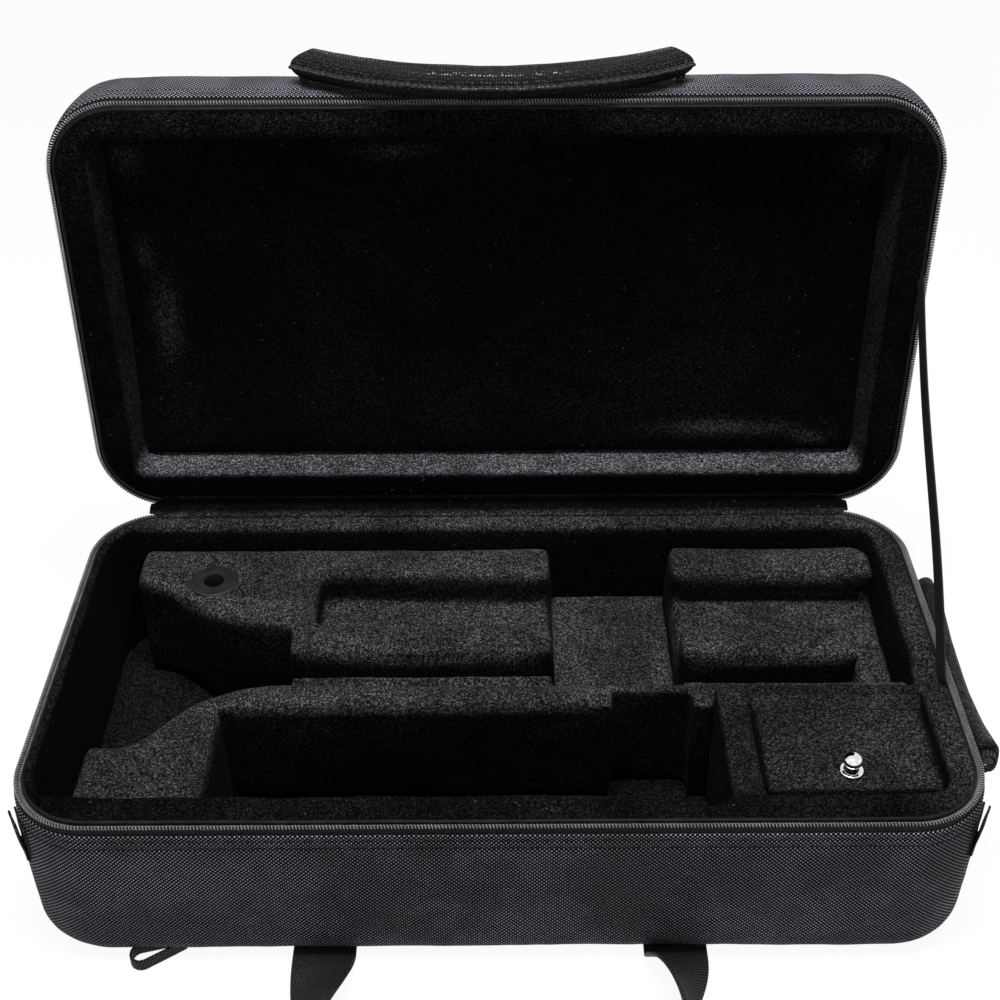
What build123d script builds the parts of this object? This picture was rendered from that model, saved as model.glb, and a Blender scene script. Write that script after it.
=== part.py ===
from build123d import *
import math
import os

# Soft-sided trumpet case, shown standing open on its base.
# Frame: X along the case, Y from the front to the hinge side, Z up.
# The origin is the centre of the base's underside. Millimetres throughout.

# ---------------------------------------------------------------- driving sizes
case_width = 520.0
case_depth = 275.0
half_width = case_width / 2
half_depth = case_depth / 2
base_height = 104.4
lid_height = 48.0
plan_corner = 45.0
base_edge = 16.0
lid_edge = 12.0
open_angle = 92.0

fit_gap = 0.2
skin_thickness = 1.2
board_thickness = 3.0
foam_wall = 7.0
base_foam_floor = 6.6
plush_thickness = 1.6
floor_pad_thickness = 1.6

# Zip, piping and the plush band on the rim
bottom_panel_height = 12.0
skin_below_rim = 8.0
tape_thickness = 0.8
tape_hidden = 8.0
coil_width = 2.6
coil_height = 2.2
piping_diameter = 2.4
piping_inset = 4.6
rim_plush_inset = 6.0
rim_plush_thickness = 2.3
zip_end_from_middle = half_width - 55.0
parting_gap = 0.8

# Cavity of the base: only the shell's foam on the left, more padding on the other three sides
cavity_right = half_width - 20.0
cavity_front = half_depth - 24.5
cavity_back = half_depth - 18.5
cavity_corner = 13.0
scoop_x = 102.5
scoop_radius = 38.0
scoop_depth = 8.0
dip_y = -21.0
dip_radius = 30.0
dip_depth = 8.0
dip_end = half_width - 13.5

# Foam blocks that hold the trumpet
block_gap = 0.3
block_drop = 15.0
block_left = half_width - 29.0
block_edge = 2.2
block_plan_corner = 4.0
compartment_left = 161.0
ridge_front = -31.0
ridge_back = -11.0
bell_tube_back = 15.0
island_back = 40.0
slide_back = 87.0
trench_depth = 23.5
tube_groove_radius = 13.2
flare_end = -127.0
slide_left = -113.0
valve_left = 33.0
valve_right = 110.0
valve_depth = 41.5
island_end = 216.0
right_island_front = 11.0
right_island_back = 38.0
notch_left = 66.0
notch_right = 112.0
notch_wall = 6.0
ridge_edge = 1.5
pocket_corner = 9.0

mouthpiece_x = -180.0
mouthpiece_y = 81.0
mouthpiece_bore = 6.5
grommet_wall = 2.0
grommet_flange_radius = 15.0
grommet_flange_thickness = 2.0
mouthpiece_depth = 52.0

# Accessory box in the front right corner
box_left = 124.0
box_back = -25.0
box_top_drop = 4.4
box_strip = 16.0
box_ledge = 6.0
box_floor = 4.0
box_lid_thickness = 4.0
box_lid_gap = 0.8
box_lid_corner = 9.0
box_lid_right = cavity_right - 1.6
box_lid_front = 1.4 - cavity_front
knob_x = 189.0
knob_y = -95.0
knob_flange_radius = 6.5
knob_radius = 5.2
knob_height = 10.0
screw_radius = 2.0
screw_clearance = 0.1
screw_head_radius = 3.6
screw_head_height = 1.6
screw_reach = 6.0

# Lid recess
lid_rim_width = 23.5
lid_recess_depth = 30.0
lid_recess_draft = 5.0
lid_recess_corner = 20.0
lid_panel_thickness = 4.0

# Hinge: the fold of the fabric strip that joins base and lid
hinge_behind = 2.0
hinge_below_rim = 1.9
gusset_half_length = half_width - 60.0
gusset_thickness = 1.0
gusset_leg = 14.0

# Carry handle on the lid's front wall
grip_half_length = 101.0
grip_sag = 28.0
grip_radius = 9.3
grip_wall_gap = 1.9
grip_from_rim = 26.6
grip_shift = -2.0
core_radius = 3.0
core_clearance = 0.6
core_reach = 9.5
anchor_width = 5.0
anchor_wall = 2.0
anchor_clearance = 0.3
patch_length = 28.0
patch_height = 22.0
patch_thickness = 1.2
seam_reach = 2.6
seam_thickness = 2.2
seam_share = 0.94

# End handle on the right wall
end_grip_half_length = 69.0
end_grip_sag = 12.0
end_grip_radius = 8.0
end_grip_wall_gap = 2.0
end_grip_y = 3.0
end_grip_z = 86.0

# Webbing tabs on the front corners
tab_angle = 28.0
tab_width = 20.0
tab_thickness = 1.8
tab_slot = 1.4
tab_top = 97.0
tab_bottom = 62.0

# Lid stay
stay_x = half_width - 5.3
stay_y = -31.0
stay_on_lid = 163.0
stay_width = 12.0
stay_thickness = 1.0
stay_gap = 0.3

# Webbing sewn to the bottom front edge
strap_spread = 97.0
strap_width = 35.0
strap_thickness = 2.2
strap_front = -half_depth - 27.5
strap_twist_end = -half_depth - 75.5
strap_bow = 36.0
twist_steps = 6
strap_start = 7.9 - half_depth
loop_thickness = 1.4
loop_height = 8.0

# Zip sliders at the ends of the zip
slider_x = zip_end_from_middle + 6.0
slider_length = 9.0
slider_height = 5.0
slider_thickness = 2.4
slider_ear = 1.2
pull_length = 28.0
pull_width = 7.0
pull_thickness = 1.6
pull_pin_radius = 0.9
pull_pin_clearance = 0.25
pull_eye_wall = 1.0

# ---------------------------------------------------------------- derived places
rim = base_height
lid_plane = rim + parting_gap
lid_top = lid_plane + lid_height
hinge_y = half_depth + hinge_behind
hinge_z = rim - hinge_below_rim
skin_inside = skin_thickness + fit_gap / 2
tape_inset = skin_inside
foam_inset = skin_inside
foam_rebate = tape_inset + tape_thickness + fit_gap / 2
foam_inner = foam_inset + foam_wall
board_bottom = skin_thickness + fit_gap
foam_bottom = board_bottom + board_thickness + fit_gap
floor_top = foam_bottom + base_foam_floor
cavity_floor = floor_top + fit_gap + floor_pad_thickness
block_floor = cavity_floor + fit_gap
block_top = rim - block_drop
trench_floor = block_top - trench_depth
box_top = rim - box_top_drop
rim_foam_top = rim - rim_plush_thickness - fit_gap / 2
cavity_inset = foam_inner + plush_thickness + fit_gap / 2
grip_standoff = grip_radius + grip_wall_gap
end_grip_standoff = end_grip_radius + end_grip_wall_gap
grip_axis_y = -half_depth - grip_standoff
grip_axis_z = lid_plane + grip_from_rim
end_axis_x = half_width + end_grip_standoff
box_lid_back = box_back - box_strip - box_lid_gap
box_lid_left = box_left + box_strip + box_lid_gap
box_lid_top = box_top + fit_gap
box_lid_bottom = box_lid_top - box_lid_thickness
pull_eye_radius = pull_pin_radius + pull_pin_clearance + pull_eye_wall
pull_pin_y = half_depth + slider_thickness + 2 * fit_gap + pull_eye_radius
pull_pin_z = rim - 3.2


# ---------------------------------------------------------------- helpers
def prism(sketch, z_low, z_high):
    """Upright block of a plan outline between two heights."""
    return Pos(0, 0, z_low) * extrude(sketch, z_high - z_low)


def case_plan(inset):
    """The case's plan outline, moved inwards."""
    return RectangleRounded(case_width - 2 * inset, case_depth - 2 * inset, plan_corner - inset)


def cavity_plan(grow=0.0):
    """The base's cavity, with the finger scoop in its front wall, grown by a clearance."""
    size_x = half_width + cavity_right + 2 * grow
    size_y = cavity_front + cavity_back + 2 * grow
    middle = Pos((cavity_right - half_width) / 2, (cavity_back - cavity_front) / 2)
    pocket = middle * RectangleRounded(size_x, size_y, cavity_corner + grow)
    pocket &= case_plan(cavity_inset - grow)
    scoop_y = -cavity_front - scoop_depth + scoop_radius
    return pocket + Pos(scoop_x, scoop_y) * Circle(scoop_radius + grow)


def span(x_low, x_high, y_low, y_high, z_low, z_high):
    """Box given by its limits."""
    block = Box(x_high - x_low, y_high - y_low, z_high - z_low)
    return Pos((x_low + x_high) / 2, (y_low + y_high) / 2, (z_low + z_high) / 2) * block


def rounded_span(x_low, x_high, y_low, y_high, z_low, z_high, corner):
    """Upright box given by its limits, with round plan corners."""
    plan = RectangleRounded(x_high - x_low, y_high - y_low, corner)
    return Pos((x_low + x_high) / 2, (y_low + y_high) / 2) * prism(plan, z_low, z_high)


def closed_edge(body, edge_at_top):
    """Long edge round the closed face of a block."""
    return body.faces().sort_by(Axis.Z)[-1 if edge_at_top else 0].edges()


def soft_box(inset, z_low, z_high, edge_radius, edge_at_top):
    """Block of the case's plan with the long edge round its closed face rounded."""
    body = prism(case_plan(inset), z_low, z_high)
    return fillet(closed_edge(body, edge_at_top), edge_radius)


def cut_box(inset, z_low, z_high, edge_length, edge_at_top):
    """The same block with that edge cut straight, as foam is."""
    body = prism(case_plan(inset), z_low, z_high)
    return chamfer(closed_edge(body, edge_at_top), edge_length)


def zip_path_cut(z_low, z_high):
    """Everything on the hinge side between the two ends of the zip."""
    return span(-zip_end_from_middle, zip_end_from_middle, 0, case_depth, z_low, z_high)


def edge_ring(outer_inset, inner_inset, z_low, z_high):
    """Upright band that follows the case's edge all round."""
    return prism(case_plan(outer_inset), z_low, z_high) - prism(case_plan(inner_inset), z_low, z_high)


def zip_coil(z_low):
    """One half of the zip's coil, as a rounded cord."""
    outer = tape_inset - (coil_width - tape_thickness) / 2
    ring = edge_ring(outer, outer + coil_width, z_low, z_low + coil_height)
    ring = chamfer(ring.edges().filter_by(Plane.XY), 0.55)
    return ring - zip_path_cut(z_low - 1, z_low + coil_height + 1)


def zip_tape(z_low, z_high):
    """One half of the zip's tape."""
    band = edge_ring(tape_inset, tape_inset + tape_thickness, z_low, z_high)
    return band - zip_path_cut(z_low - 1, z_high + 1)


def piping(z_middle):
    """Round cord that edges the plush, all round the rim."""
    half = piping_diameter / 2
    ring = edge_ring(piping_inset - half, piping_inset + half, z_middle - half, z_middle + half)
    return chamfer(ring.edges().filter_by(Plane.XY), 0.3 * piping_diameter)


def swing_open(shape):
    """Takes a lid piece from its closed place to its open one."""
    to_hinge = Pos(0, -hinge_y, -hinge_z)
    back = Pos(0, hinge_y, hinge_z)
    return back * Rot(-open_angle, 0, 0) * to_hinge * shape


def soften_top(shape, z_top, length):
    """Breaks the plush-covered edges at a block's top."""
    edges = shape.edges().filter_by_position(Axis.Z, z_top - 0.01, z_top + 0.01)
    return chamfer(edges, length)


def rim_dip(grow):
    """Saddle pressed into the right rim beside the trumpet's mouthpiece end, grown by a clearance."""
    low = cavity_right - 1
    high = dip_end + grow
    roll = Rot(0, 90, 0) * Cylinder(dip_radius + grow, high - low)
    return Pos((low + high) / 2, dip_y, rim + dip_radius - dip_depth) * roll


# ---------------------------------------------------------------- base shell
def base_skin(z_low, z_high):
    """Nylon cover of the base between two heights."""
    outer = soft_box(0, 0, rim, base_edge, False)
    inner = soft_box(skin_thickness, skin_thickness, rim + 1, base_edge - skin_thickness, False)
    return (outer - inner) & span(-case_width, case_width, -case_depth, case_depth, z_low, z_high)


def board(z_low, edge_radius):
    """Stiffening board, kept inside the rounding of the skin."""
    inset = skin_thickness + edge_radius
    return prism(case_plan(inset), z_low, z_low + board_thickness)


def base_foam():
    outer = cut_box(foam_inset, board_bottom, rim_foam_top, base_edge - foam_inset, False)
    hollow = prism(case_plan(foam_inner), floor_top, rim + 1)
    seat = board(board_bottom, base_edge)
    seat = Pos(0, 0, fit_gap) * seat + seat
    rebate_low = rim - skin_below_rim - tape_hidden - fit_gap
    rebate = edge_ring(foam_inset - 1, foam_rebate, rebate_low, rim + 1)
    groove_low = rim - piping_diameter - fit_gap
    groove = edge_ring(foam_rebate - 1, rim_plush_inset, groove_low, rim + 1)
    return outer - hollow - seat - rebate - groove


def padding(side):
    """Foam strip between the shell and the lined cavity, on one side."""
    ring = prism(case_plan(foam_inner + fit_gap), cavity_floor, rim_foam_top)
    ring -= prism(cavity_plan(plush_thickness + fit_gap), cavity_floor - 1, rim + 1)
    front_end = -cavity_front + cavity_corner
    back_end = cavity_back - cavity_corner
    far = case_width
    limits = {
        "front": span(-far, far, -far, front_end - fit_gap, 0, rim),
        "back": span(-far, far, back_end + fit_gap, far, 0, rim),
        "right": span(0, far, front_end, back_end, 0, rim),
    }
    if side == "right":
        ring -= rim_dip(rim_plush_thickness + fit_gap)
    return ring & limits[side]


def floor_pad():
    plan = case_plan(foam_inner + fit_gap)
    return prism(plan, floor_top + fit_gap / 2, cavity_floor - fit_gap / 2)


def rim_lining():
    wall = prism(cavity_plan(plush_thickness), cavity_floor, rim)
    wall += prism(case_plan(rim_plush_inset), rim - rim_plush_thickness, rim)
    saddle = rim_dip(rim_plush_thickness) & span(0, case_width, -case_depth, case_depth, 0, rim)
    return wall + saddle - rim_dip(0) - prism(cavity_plan(), cavity_floor - 1, rim + 1)


# ---------------------------------------------------------------- trumpet blocks
def bell_pocket():
    """Plan of the bell's pocket: two flaring sides that narrow to the tube trench."""
    left = -case_width
    trench_side = ridge_back - block_gap
    back_side = Spline((-block_left, 84), (-200, 71), (-176, 50), (-150, 43), (flare_end, 41))
    front_side = Spline((-block_left, -61), (-204, -57), (-182, -34), (-158, -19), (flare_end, trench_side))
    outline = back_side + front_side
    outline += Polyline(back_side @ 0, (left, 84), (left, -61), front_side @ 0)
    outline += Line(back_side @ 1, front_side @ 1)
    return make_face(outline)


def block_plan(x_low, x_high, y_low, y_high):
    """Rectangle between limits, trimmed to the cavity."""
    plan = Rectangle(x_high - x_low, y_high - y_low)
    return (Pos((x_low + x_high) / 2, (y_low + y_high) / 2) * plan) & cavity_plan(-block_gap)


def plush_block(plan, x_low, x_high):
    """Full-height foam block whose plan corners between two limits are rounded by the plush."""
    corners = [corner for corner in plan.vertices() if x_low < corner.X < x_high]
    return prism(fillet(corners, block_plan_corner), block_floor, block_top)


def rear_left_block():
    plan = block_plan(-block_left, valve_left, bell_tube_back, cavity_back) - bell_pocket()
    block = plush_block(plan, -case_width, case_width)
    reach = valve_left + 2 * pocket_corner
    block -= rounded_span(slide_left, reach, island_back, slide_back, trench_floor, rim, pocket_corner)
    block = soften_top(block, block_top, block_edge)
    hole_radius = mouthpiece_bore + grommet_wall + fit_gap / 2
    hole = Pos(mouthpiece_x, mouthpiece_y) * prism(Circle(hole_radius), block_top - mouthpiece_depth, rim)
    return block - hole


def rear_right_block():
    far = case_width
    plan = block_plan(valve_right, far, right_island_front, cavity_back)
    block = plush_block(plan, -far, island_end)
    left = valve_right - 2 * pocket_corner
    block -= rounded_span(left, far, right_island_back, slide_back, trench_floor, rim, pocket_corner)
    block -= rounded_span(island_end, far, -far, slide_back, trench_floor, rim, pocket_corner)
    return soften_top(block, block_top, block_edge)


def front_ridge_block():
    far = case_width
    back = ridge_back - block_gap
    box_clear = box_back + block_gap
    plan = block_plan(-compartment_left - block_plan_corner, far, ridge_front, back)
    plan += block_plan(-block_left, -compartment_left, -far, back)
    plan -= bell_pocket()
    plan -= block_plan(box_left - block_gap, far, -far, box_clear)
    block = plush_block(plan, -case_width, flare_end - 1)
    notch_back = ridge_back - notch_wall
    notch_front = ridge_front - pocket_corner
    block -= rounded_span(notch_left, notch_right, notch_front, notch_back, 0, rim, block_plan_corner)
    return soften_top(block, block_top, ridge_edge)


def trench_floor_block():
    far = case_width
    rail_top = trench_floor + 0.4 * tube_groove_radius
    valve_floor = block_top - valve_depth
    rail = prism(block_plan(flare_end, far, ridge_back, bell_tube_back - block_gap), block_floor, rail_top)
    rail -= prism(block_plan(valve_right - block_gap, far, right_island_front - block_gap, far), 0, rim)
    middle = (ridge_back + bell_tube_back) / 2
    tube = Rot(0, 90, 0) * Cylinder(tube_groove_radius, 2 * far)
    rail -= Pos(0, middle, trench_floor + tube_groove_radius) * tube
    pocket = block_plan(valve_left + block_gap, valve_right - block_gap, ridge_back, far)
    return rail - prism(pocket, valve_floor, rim) + prism(pocket, block_floor, valve_floor)


def mouthpiece_grommet():
    outer = mouthpiece_bore + grommet_wall
    low = block_top - mouthpiece_depth + fit_gap
    flange_low = block_top + fit_gap / 2
    sleeve = prism(Circle(outer), low, flange_low)
    flange = prism(Circle(grommet_flange_radius), flange_low, flange_low + grommet_flange_thickness)
    flange = fillet(flange.edges().sort_by(Axis.Z)[-1], grommet_flange_thickness * 0.6)
    body = sleeve + flange - prism(Circle(mouthpiece_bore), low + grommet_wall, rim)
    return Pos(mouthpiece_x, mouthpiece_y) * body


# ---------------------------------------------------------------- accessory box
def accessory_box():
    plan = block_plan(box_left, case_width, -case_width, box_back)
    box = prism(plan, block_floor, box_top)
    inner_left = box_left + box_strip + box_ledge
    inner_right = cavity_right - block_gap - box_ledge
    inner_front = -cavity_front + block_gap + box_ledge
    inner_back = box_back - box_strip - box_ledge
    store_floor = block_floor + box_floor
    corner = box_lid_corner
    box -= rounded_span(inner_left, inner_right, inner_front, inner_back, store_floor, rim, corner)
    seat = box_lid_bottom - fit_gap
    seat_left = box_left + box_strip
    seat_back = box_back - box_strip
    box -= span(seat_left, case_width, -case_width, seat_back, seat, rim)
    return box


def accessory_lid():
    lid = rounded_span(
        box_lid_left, box_lid_right, box_lid_front, box_lid_back, box_lid_bottom, box_lid_top, box_lid_corner
    )
    lid = soften_top(lid, box_lid_top, 1.5)
    hole = Pos(knob_x, knob_y) * prism(Circle(screw_radius + screw_clearance), 0, rim)
    return lid - hole


def accessory_hinge_tape():
    reach = 6.0
    low = box_lid_top + fit_gap / 2
    left = box_lid_left + box_lid_corner
    right = box_lid_right - box_lid_corner
    return span(left, right, box_lid_back - reach, box_lid_back + reach, low, low + 0.6)


def knob_flange():
    low = box_lid_top + fit_gap / 2
    disc = prism(Circle(knob_flange_radius), low, low + 1.4)
    disc = fillet(disc.edges().sort_by(Axis.Z)[-1], 0.6)
    return Pos(knob_x, knob_y) * (disc - prism(Circle(screw_radius + screw_clearance), 0, rim + 20))


def accessory_knob():
    """Turned knob: a waisted neck under a round head, with a blind hole for its screw."""
    low = box_lid_top + fit_gap + 1.4
    neck = knob_radius * 0.62
    outline = Polyline((0, 0), (knob_radius * 0.85, 0), (neck, knob_height * 0.3))
    outline += ThreePointArc(
        (neck, knob_height * 0.3), (knob_radius, knob_height * 0.68), (neck * 0.75, knob_height * 0.97)
    )
    outline += Polyline((neck * 0.75, knob_height * 0.97), (0, knob_height), (0, 0))
    profile = Plane.XZ * make_face(outline)
    body = Pos(knob_x, knob_y, low) * revolve(profile, Axis.Z)
    bore = prism(Circle(screw_radius + screw_clearance), 0, low + screw_reach + fit_gap)
    return body - Pos(knob_x, knob_y) * bore


def knob_screw():
    head_top = box_lid_bottom - fit_gap / 2
    end = box_lid_top + fit_gap + 1.4 + screw_reach
    screw = prism(Circle(screw_radius), head_top - screw_head_height / 2, end)
    screw += prism(Circle(screw_head_radius), head_top - screw_head_height, head_top)
    return Pos(knob_x, knob_y) * screw


# ---------------------------------------------------------------- lid, in its closed place
def lid_skin():
    skin_low = lid_plane + skin_below_rim
    outer = soft_box(0, skin_low, lid_top, lid_edge, True)
    inner_top = lid_top - skin_thickness
    inner = soft_box(skin_thickness, skin_low - 1, inner_top, lid_edge - skin_thickness, True)
    return outer - inner


def lid_recess(grow):
    """Drafted recess in the lid, grown by a clearance."""
    size_x = case_width - 2 * lid_rim_width + 2 * grow
    size_y = case_depth - 2 * lid_rim_width + 2 * grow
    mouth = RectangleRounded(size_x, size_y, lid_recess_corner + grow)
    shrink = 2 * lid_recess_draft
    floor = RectangleRounded(size_x - shrink, size_y - shrink, lid_recess_corner + grow)
    low = lid_plane
    high = lid_plane + lid_recess_depth
    return loft([Pos(0, 0, low) * mouth, Pos(0, 0, high) * floor], ruled=True)


def lid_foam():
    top = lid_top - board_bottom
    foam_low = lid_plane + rim_plush_thickness + fit_gap / 2
    outer = cut_box(foam_inset, foam_low, top, lid_edge - foam_inset, True)
    seat_low = lid_top - board_bottom - board_thickness - fit_gap
    seat = prism(case_plan(skin_thickness + lid_edge), seat_low, lid_top)
    rebate_high = lid_plane + skin_below_rim + tape_hidden + fit_gap
    rebate = edge_ring(foam_inset - 1, foam_rebate, lid_plane - 1, rebate_high)
    groove_high = lid_plane + piping_diameter + fit_gap
    groove = edge_ring(foam_rebate - 1, rim_plush_inset, lid_plane - 1, groove_high)
    hollow = lid_recess(plush_thickness + fit_gap)
    panel_top = lid_plane + lid_recess_depth + lid_panel_thickness + fit_gap
    panel_seat = lid_panel_plan(plush_thickness + fit_gap)
    hollow += prism(panel_seat, lid_plane + lid_recess_depth - 0.5, panel_top)
    return outer - seat - rebate - groove - hollow


def lid_panel_plan(grow):
    """Plan of the padded panel at the bottom of the lid's recess."""
    inset = lid_rim_width + lid_recess_draft - grow
    size_x = case_width - 2 * inset
    size_y = case_depth - 2 * inset
    return RectangleRounded(size_x, size_y, lid_recess_corner + grow)


def lid_lining():
    """Plush band on the lid's rim and the drafted sides of its recess."""
    band = prism(case_plan(rim_plush_inset), lid_plane, lid_plane + rim_plush_thickness)
    return band + lid_recess(plush_thickness) - lid_recess(0)


def lid_panel():
    low = lid_plane + lid_recess_depth + fit_gap / 2
    panel = prism(lid_panel_plan(plush_thickness), low, low + lid_panel_thickness - fit_gap)
    return panel


# ---------------------------------------------------------------- handles
def grip_curve(half_length, sag):
    """Bowed line of a handle in the plane of its wall."""
    return ThreePointArc((-half_length, 0, 0), (0, 0, -sag), (half_length, 0, 0))


def along_grip(half_length, sag, radius):
    """Round bar that follows the handle's bow."""
    curve = grip_curve(half_length, sag)
    start = Plane(curve @ 0, x_dir=(0, 1, 0), z_dir=curve % 0)
    return sweep(start * Circle(radius), path=curve)


def handle_grip(half_length, sag, radius):
    """Padded tube round the handle's core."""
    return along_grip(half_length, sag, radius) - along_grip(half_length, sag, core_radius + core_clearance)


def handle_seam(half_length, sag, radius):
    """Sewn lip of the handle's wrap, along the outer side of the bow."""
    bow = (half_length ** 2 + sag ** 2) / (2 * sag)
    inner = bow + radius + fit_gap / 2
    reach = seam_share * half_length * inner / bow
    lip = Cylinder(inner + seam_reach, seam_thickness) - Cylinder(inner, 2 * seam_thickness)
    below = span(-reach, reach, -seam_thickness, seam_thickness, -case_width, 0)
    return Pos(0, 0, bow - sag) * Rot(90, 0, 0) * lip & below


def handle_core(half_length, sag):
    """Cord through the grip, whose straight ends sit in the anchors."""
    core = along_grip(half_length, sag, core_radius)
    for side in (-1, 1):
        core += Pos(side * half_length, 0, 0) * Sphere(core_radius)
        end = Rot(0, 90, 0) * Cylinder(core_radius, core_reach)
        core += Pos(side * (half_length + core_reach / 2), 0, 0) * end
    return core


def handle_anchor(side, half_length, standoff):
    """Folded loop on a sewn patch that holds one end of a handle's core."""
    loop_radius = core_radius + anchor_clearance + anchor_wall
    outer_x = half_length + core_reach
    middle = side * (outer_x - anchor_width / 2)
    along_x = Rot(0, 90, 0)
    wall = standoff - fit_gap
    loop = Pos(middle, 0, 0) * along_x * Cylinder(loop_radius, anchor_width)
    loop += Pos(middle, wall / 2, 0) * Box(anchor_width, wall, 2 * anchor_wall)
    loop -= Pos(middle, 0, 0) * along_x * Cylinder(core_radius + anchor_clearance, 2 * anchor_width)
    patch = Box(patch_length, patch_thickness, patch_height)
    patch = fillet(patch.edges().filter_by(Axis.Y), patch_height / 6)
    return loop + Pos(side * (outer_x - patch_length / 2), wall - patch_thickness / 2, 0) * patch


def to_lid_front(shape):
    """Puts a handle piece on the lid's front wall, then opens it with the lid."""
    return swing_open(Pos(grip_shift, grip_axis_y, grip_axis_z) * shape)


def to_right_wall(shape):
    """Puts a handle piece on the right wall of the base."""
    return Pos(end_axis_x, end_grip_y, end_grip_z) * Rot(0, 0, 90) * shape


# ---------------------------------------------------------------- corner tabs
def corner_tab(side):
    """Webbing folded double, sewn in under the zip on a front corner."""
    outer = tab_thickness + tab_slot / 2
    low = tab_bottom + outer
    height = tab_top - low
    fold = Pos(0, height / 2) * Rectangle(2 * outer, height) + Circle(outer)
    fold -= Pos(0, height / 2) * Rectangle(tab_slot, height) + Circle(tab_slot / 2)
    tab = Pos(0, 0, low) * extrude(Plane.XZ * fold, tab_width / 2, both=True)
    angle = -tab_angle if side > 0 else 180 + tab_angle
    corner = Pos(side * (half_width - plan_corner), -half_depth + plan_corner)
    return corner * Rot(0, 0, angle) * Pos(plan_corner + stay_gap + outer, 0) * tab


# ---------------------------------------------------------------- stay, gusset and webbing
def lid_stay():
    """Straight tape from the rim of the base to the rim of the open lid."""
    lean = math.radians(open_angle)
    lid_back_y = half_depth - hinge_y
    lid_back_z = lid_plane - hinge_z
    foot_y = hinge_y + lid_back_y * math.cos(lean) + lid_back_z * math.sin(lean)
    foot_z = hinge_z - lid_back_y * math.sin(lean) + lid_back_z * math.cos(lean)
    along_y = -math.cos(lean)
    along_z = math.sin(lean)
    top_y = foot_y + stay_on_lid * along_y - stay_gap
    top_z = foot_z + stay_on_lid * along_z
    slope = math.atan2(top_z - rim, top_y - stay_y)
    step_y = stay_width / math.sin(slope)
    step_z = stay_width / math.cos(slope)
    low = rim + stay_gap
    outline = Polyline(
        (stay_y - step_y / 2, low),
        (stay_y + step_y / 2, low),
        (top_y, top_z - step_z / 2),
        (top_y + step_z * along_y / along_z, top_z + step_z / 2),
        (stay_y - step_y / 2, low),
    )
    face = Plane.YZ * make_face(outline)
    return Pos(stay_x - stay_thickness / 2, 0, 0) * extrude(face, stay_thickness)


def hinge_gusset():
    """Fabric strip over the fold: down the base's back wall and along the lid's hinge wall."""
    wall_y = half_depth + fit_gap
    shelf_y = half_depth + 7.0
    shelf_z = rim - 0.9
    low = rim - gusset_leg - 2
    turn = 4.0
    path = Line((wall_y + gusset_thickness / 2, low), (wall_y + gusset_thickness / 2, shelf_z - turn))
    corner = (wall_y + gusset_thickness / 2 + turn * 0.3, shelf_z - turn * 0.3)
    path += ThreePointArc(path @ 1, corner, (shelf_y - 1.5, shelf_z))
    drop = (gusset_leg - 2) * math.tan(math.radians(open_angle - 90))
    path += Line((shelf_y - 1.5, shelf_z), (shelf_y + gusset_leg - 2, shelf_z - drop))
    outline = offset(path, amount=gusset_thickness / 2, side=Side.BOTH)
    face = Plane.YZ * make_face(outline)
    return Pos(-gusset_half_length, 0, 0) * extrude(face, 2 * gusset_half_length)


def strap_section(y_mid, turn):
    """Cross-section of the webbing where it has turned by an angle from flat to upright."""
    half = strap_width / 2
    lift = half * abs(math.sin(turn)) + strap_thickness / 2 * math.cos(turn)
    plane = Plane(origin=(0, y_mid, lift), x_dir=(math.cos(turn), 0, math.sin(turn)), z_dir=(0, -1, 0))
    return plane * Rectangle(strap_width, strap_thickness)


def strap_leg(side):
    """One leg of the webbing loop: flat at the seam, twisted upright at its front end."""
    sections = [strap_section(strap_start, 0)]
    for step in range(twist_steps + 1):
        share = step / twist_steps
        y_mid = strap_front + (strap_twist_end - strap_front) * share
        sections.append(strap_section(y_mid, -side * share * math.pi / 2))
    return Pos(side * strap_spread, 0, 0) * loft(sections, ruled=True)


def carry_strap():
    """Webbing loop: two flat legs that twist upright and join in a half-round bow."""
    half = strap_thickness / 2
    bow = Ellipse(strap_spread + half, strap_bow + half) - Ellipse(strap_spread - half, strap_bow - half)
    bow &= Pos(0, -case_width / 2) * Rectangle(case_width, case_width)
    return strap_leg(-1) + strap_leg(1) + Pos(0, strap_twist_end, 0) * extrude(bow, strap_width)


def hang_loop():
    """Narrow tape loop that stands on its edge beside the front left of the bottom seam."""
    front = Pos(63 - half_width, -half_depth - 2) * Circle(6.5)
    back = Pos(84 - half_width, 7.5 - half_depth) * Circle(2.6)
    outer = make_hull(front.edges() + back.edges())
    ring = outer - offset(outer, amount=-loop_thickness)
    band = prism(ring, fit_gap / 2, loop_height)
    case = soft_box(-block_gap, -block_gap, rim, base_edge + block_gap, False)
    return band - case


# ---------------------------------------------------------------- zip sliders
def zip_slider(side):
    """Slider parked on the base half of the zip, with two ears and a pin for its pull."""
    back = half_depth + fit_gap
    face = back + slider_thickness
    left = -slider_length / 2
    body = span(left, -left, back, face, rim - slider_height, rim + fit_gap)
    body = fillet(body.edges().filter_by(Axis.Y), 1.2)
    ear_gap = pull_width / 4 + fit_gap
    reach = pull_pin_y + pull_pin_radius + 0.4
    low = pull_pin_z - pull_pin_radius - 0.5
    high = pull_pin_z + pull_pin_radius + 0.5
    for hand in (-1, 1):
        inner = hand * ear_gap
        outer = hand * (ear_gap + slider_ear)
        body += span(min(inner, outer), max(inner, outer), face, reach, low, high)
    pin = Rot(0, 90, 0) * Cylinder(pull_pin_radius, 2 * ear_gap + slider_ear)
    return Pos(side * slider_x, 0, 0) * (body + Pos(0, pull_pin_y, pull_pin_z) * pin)


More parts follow.
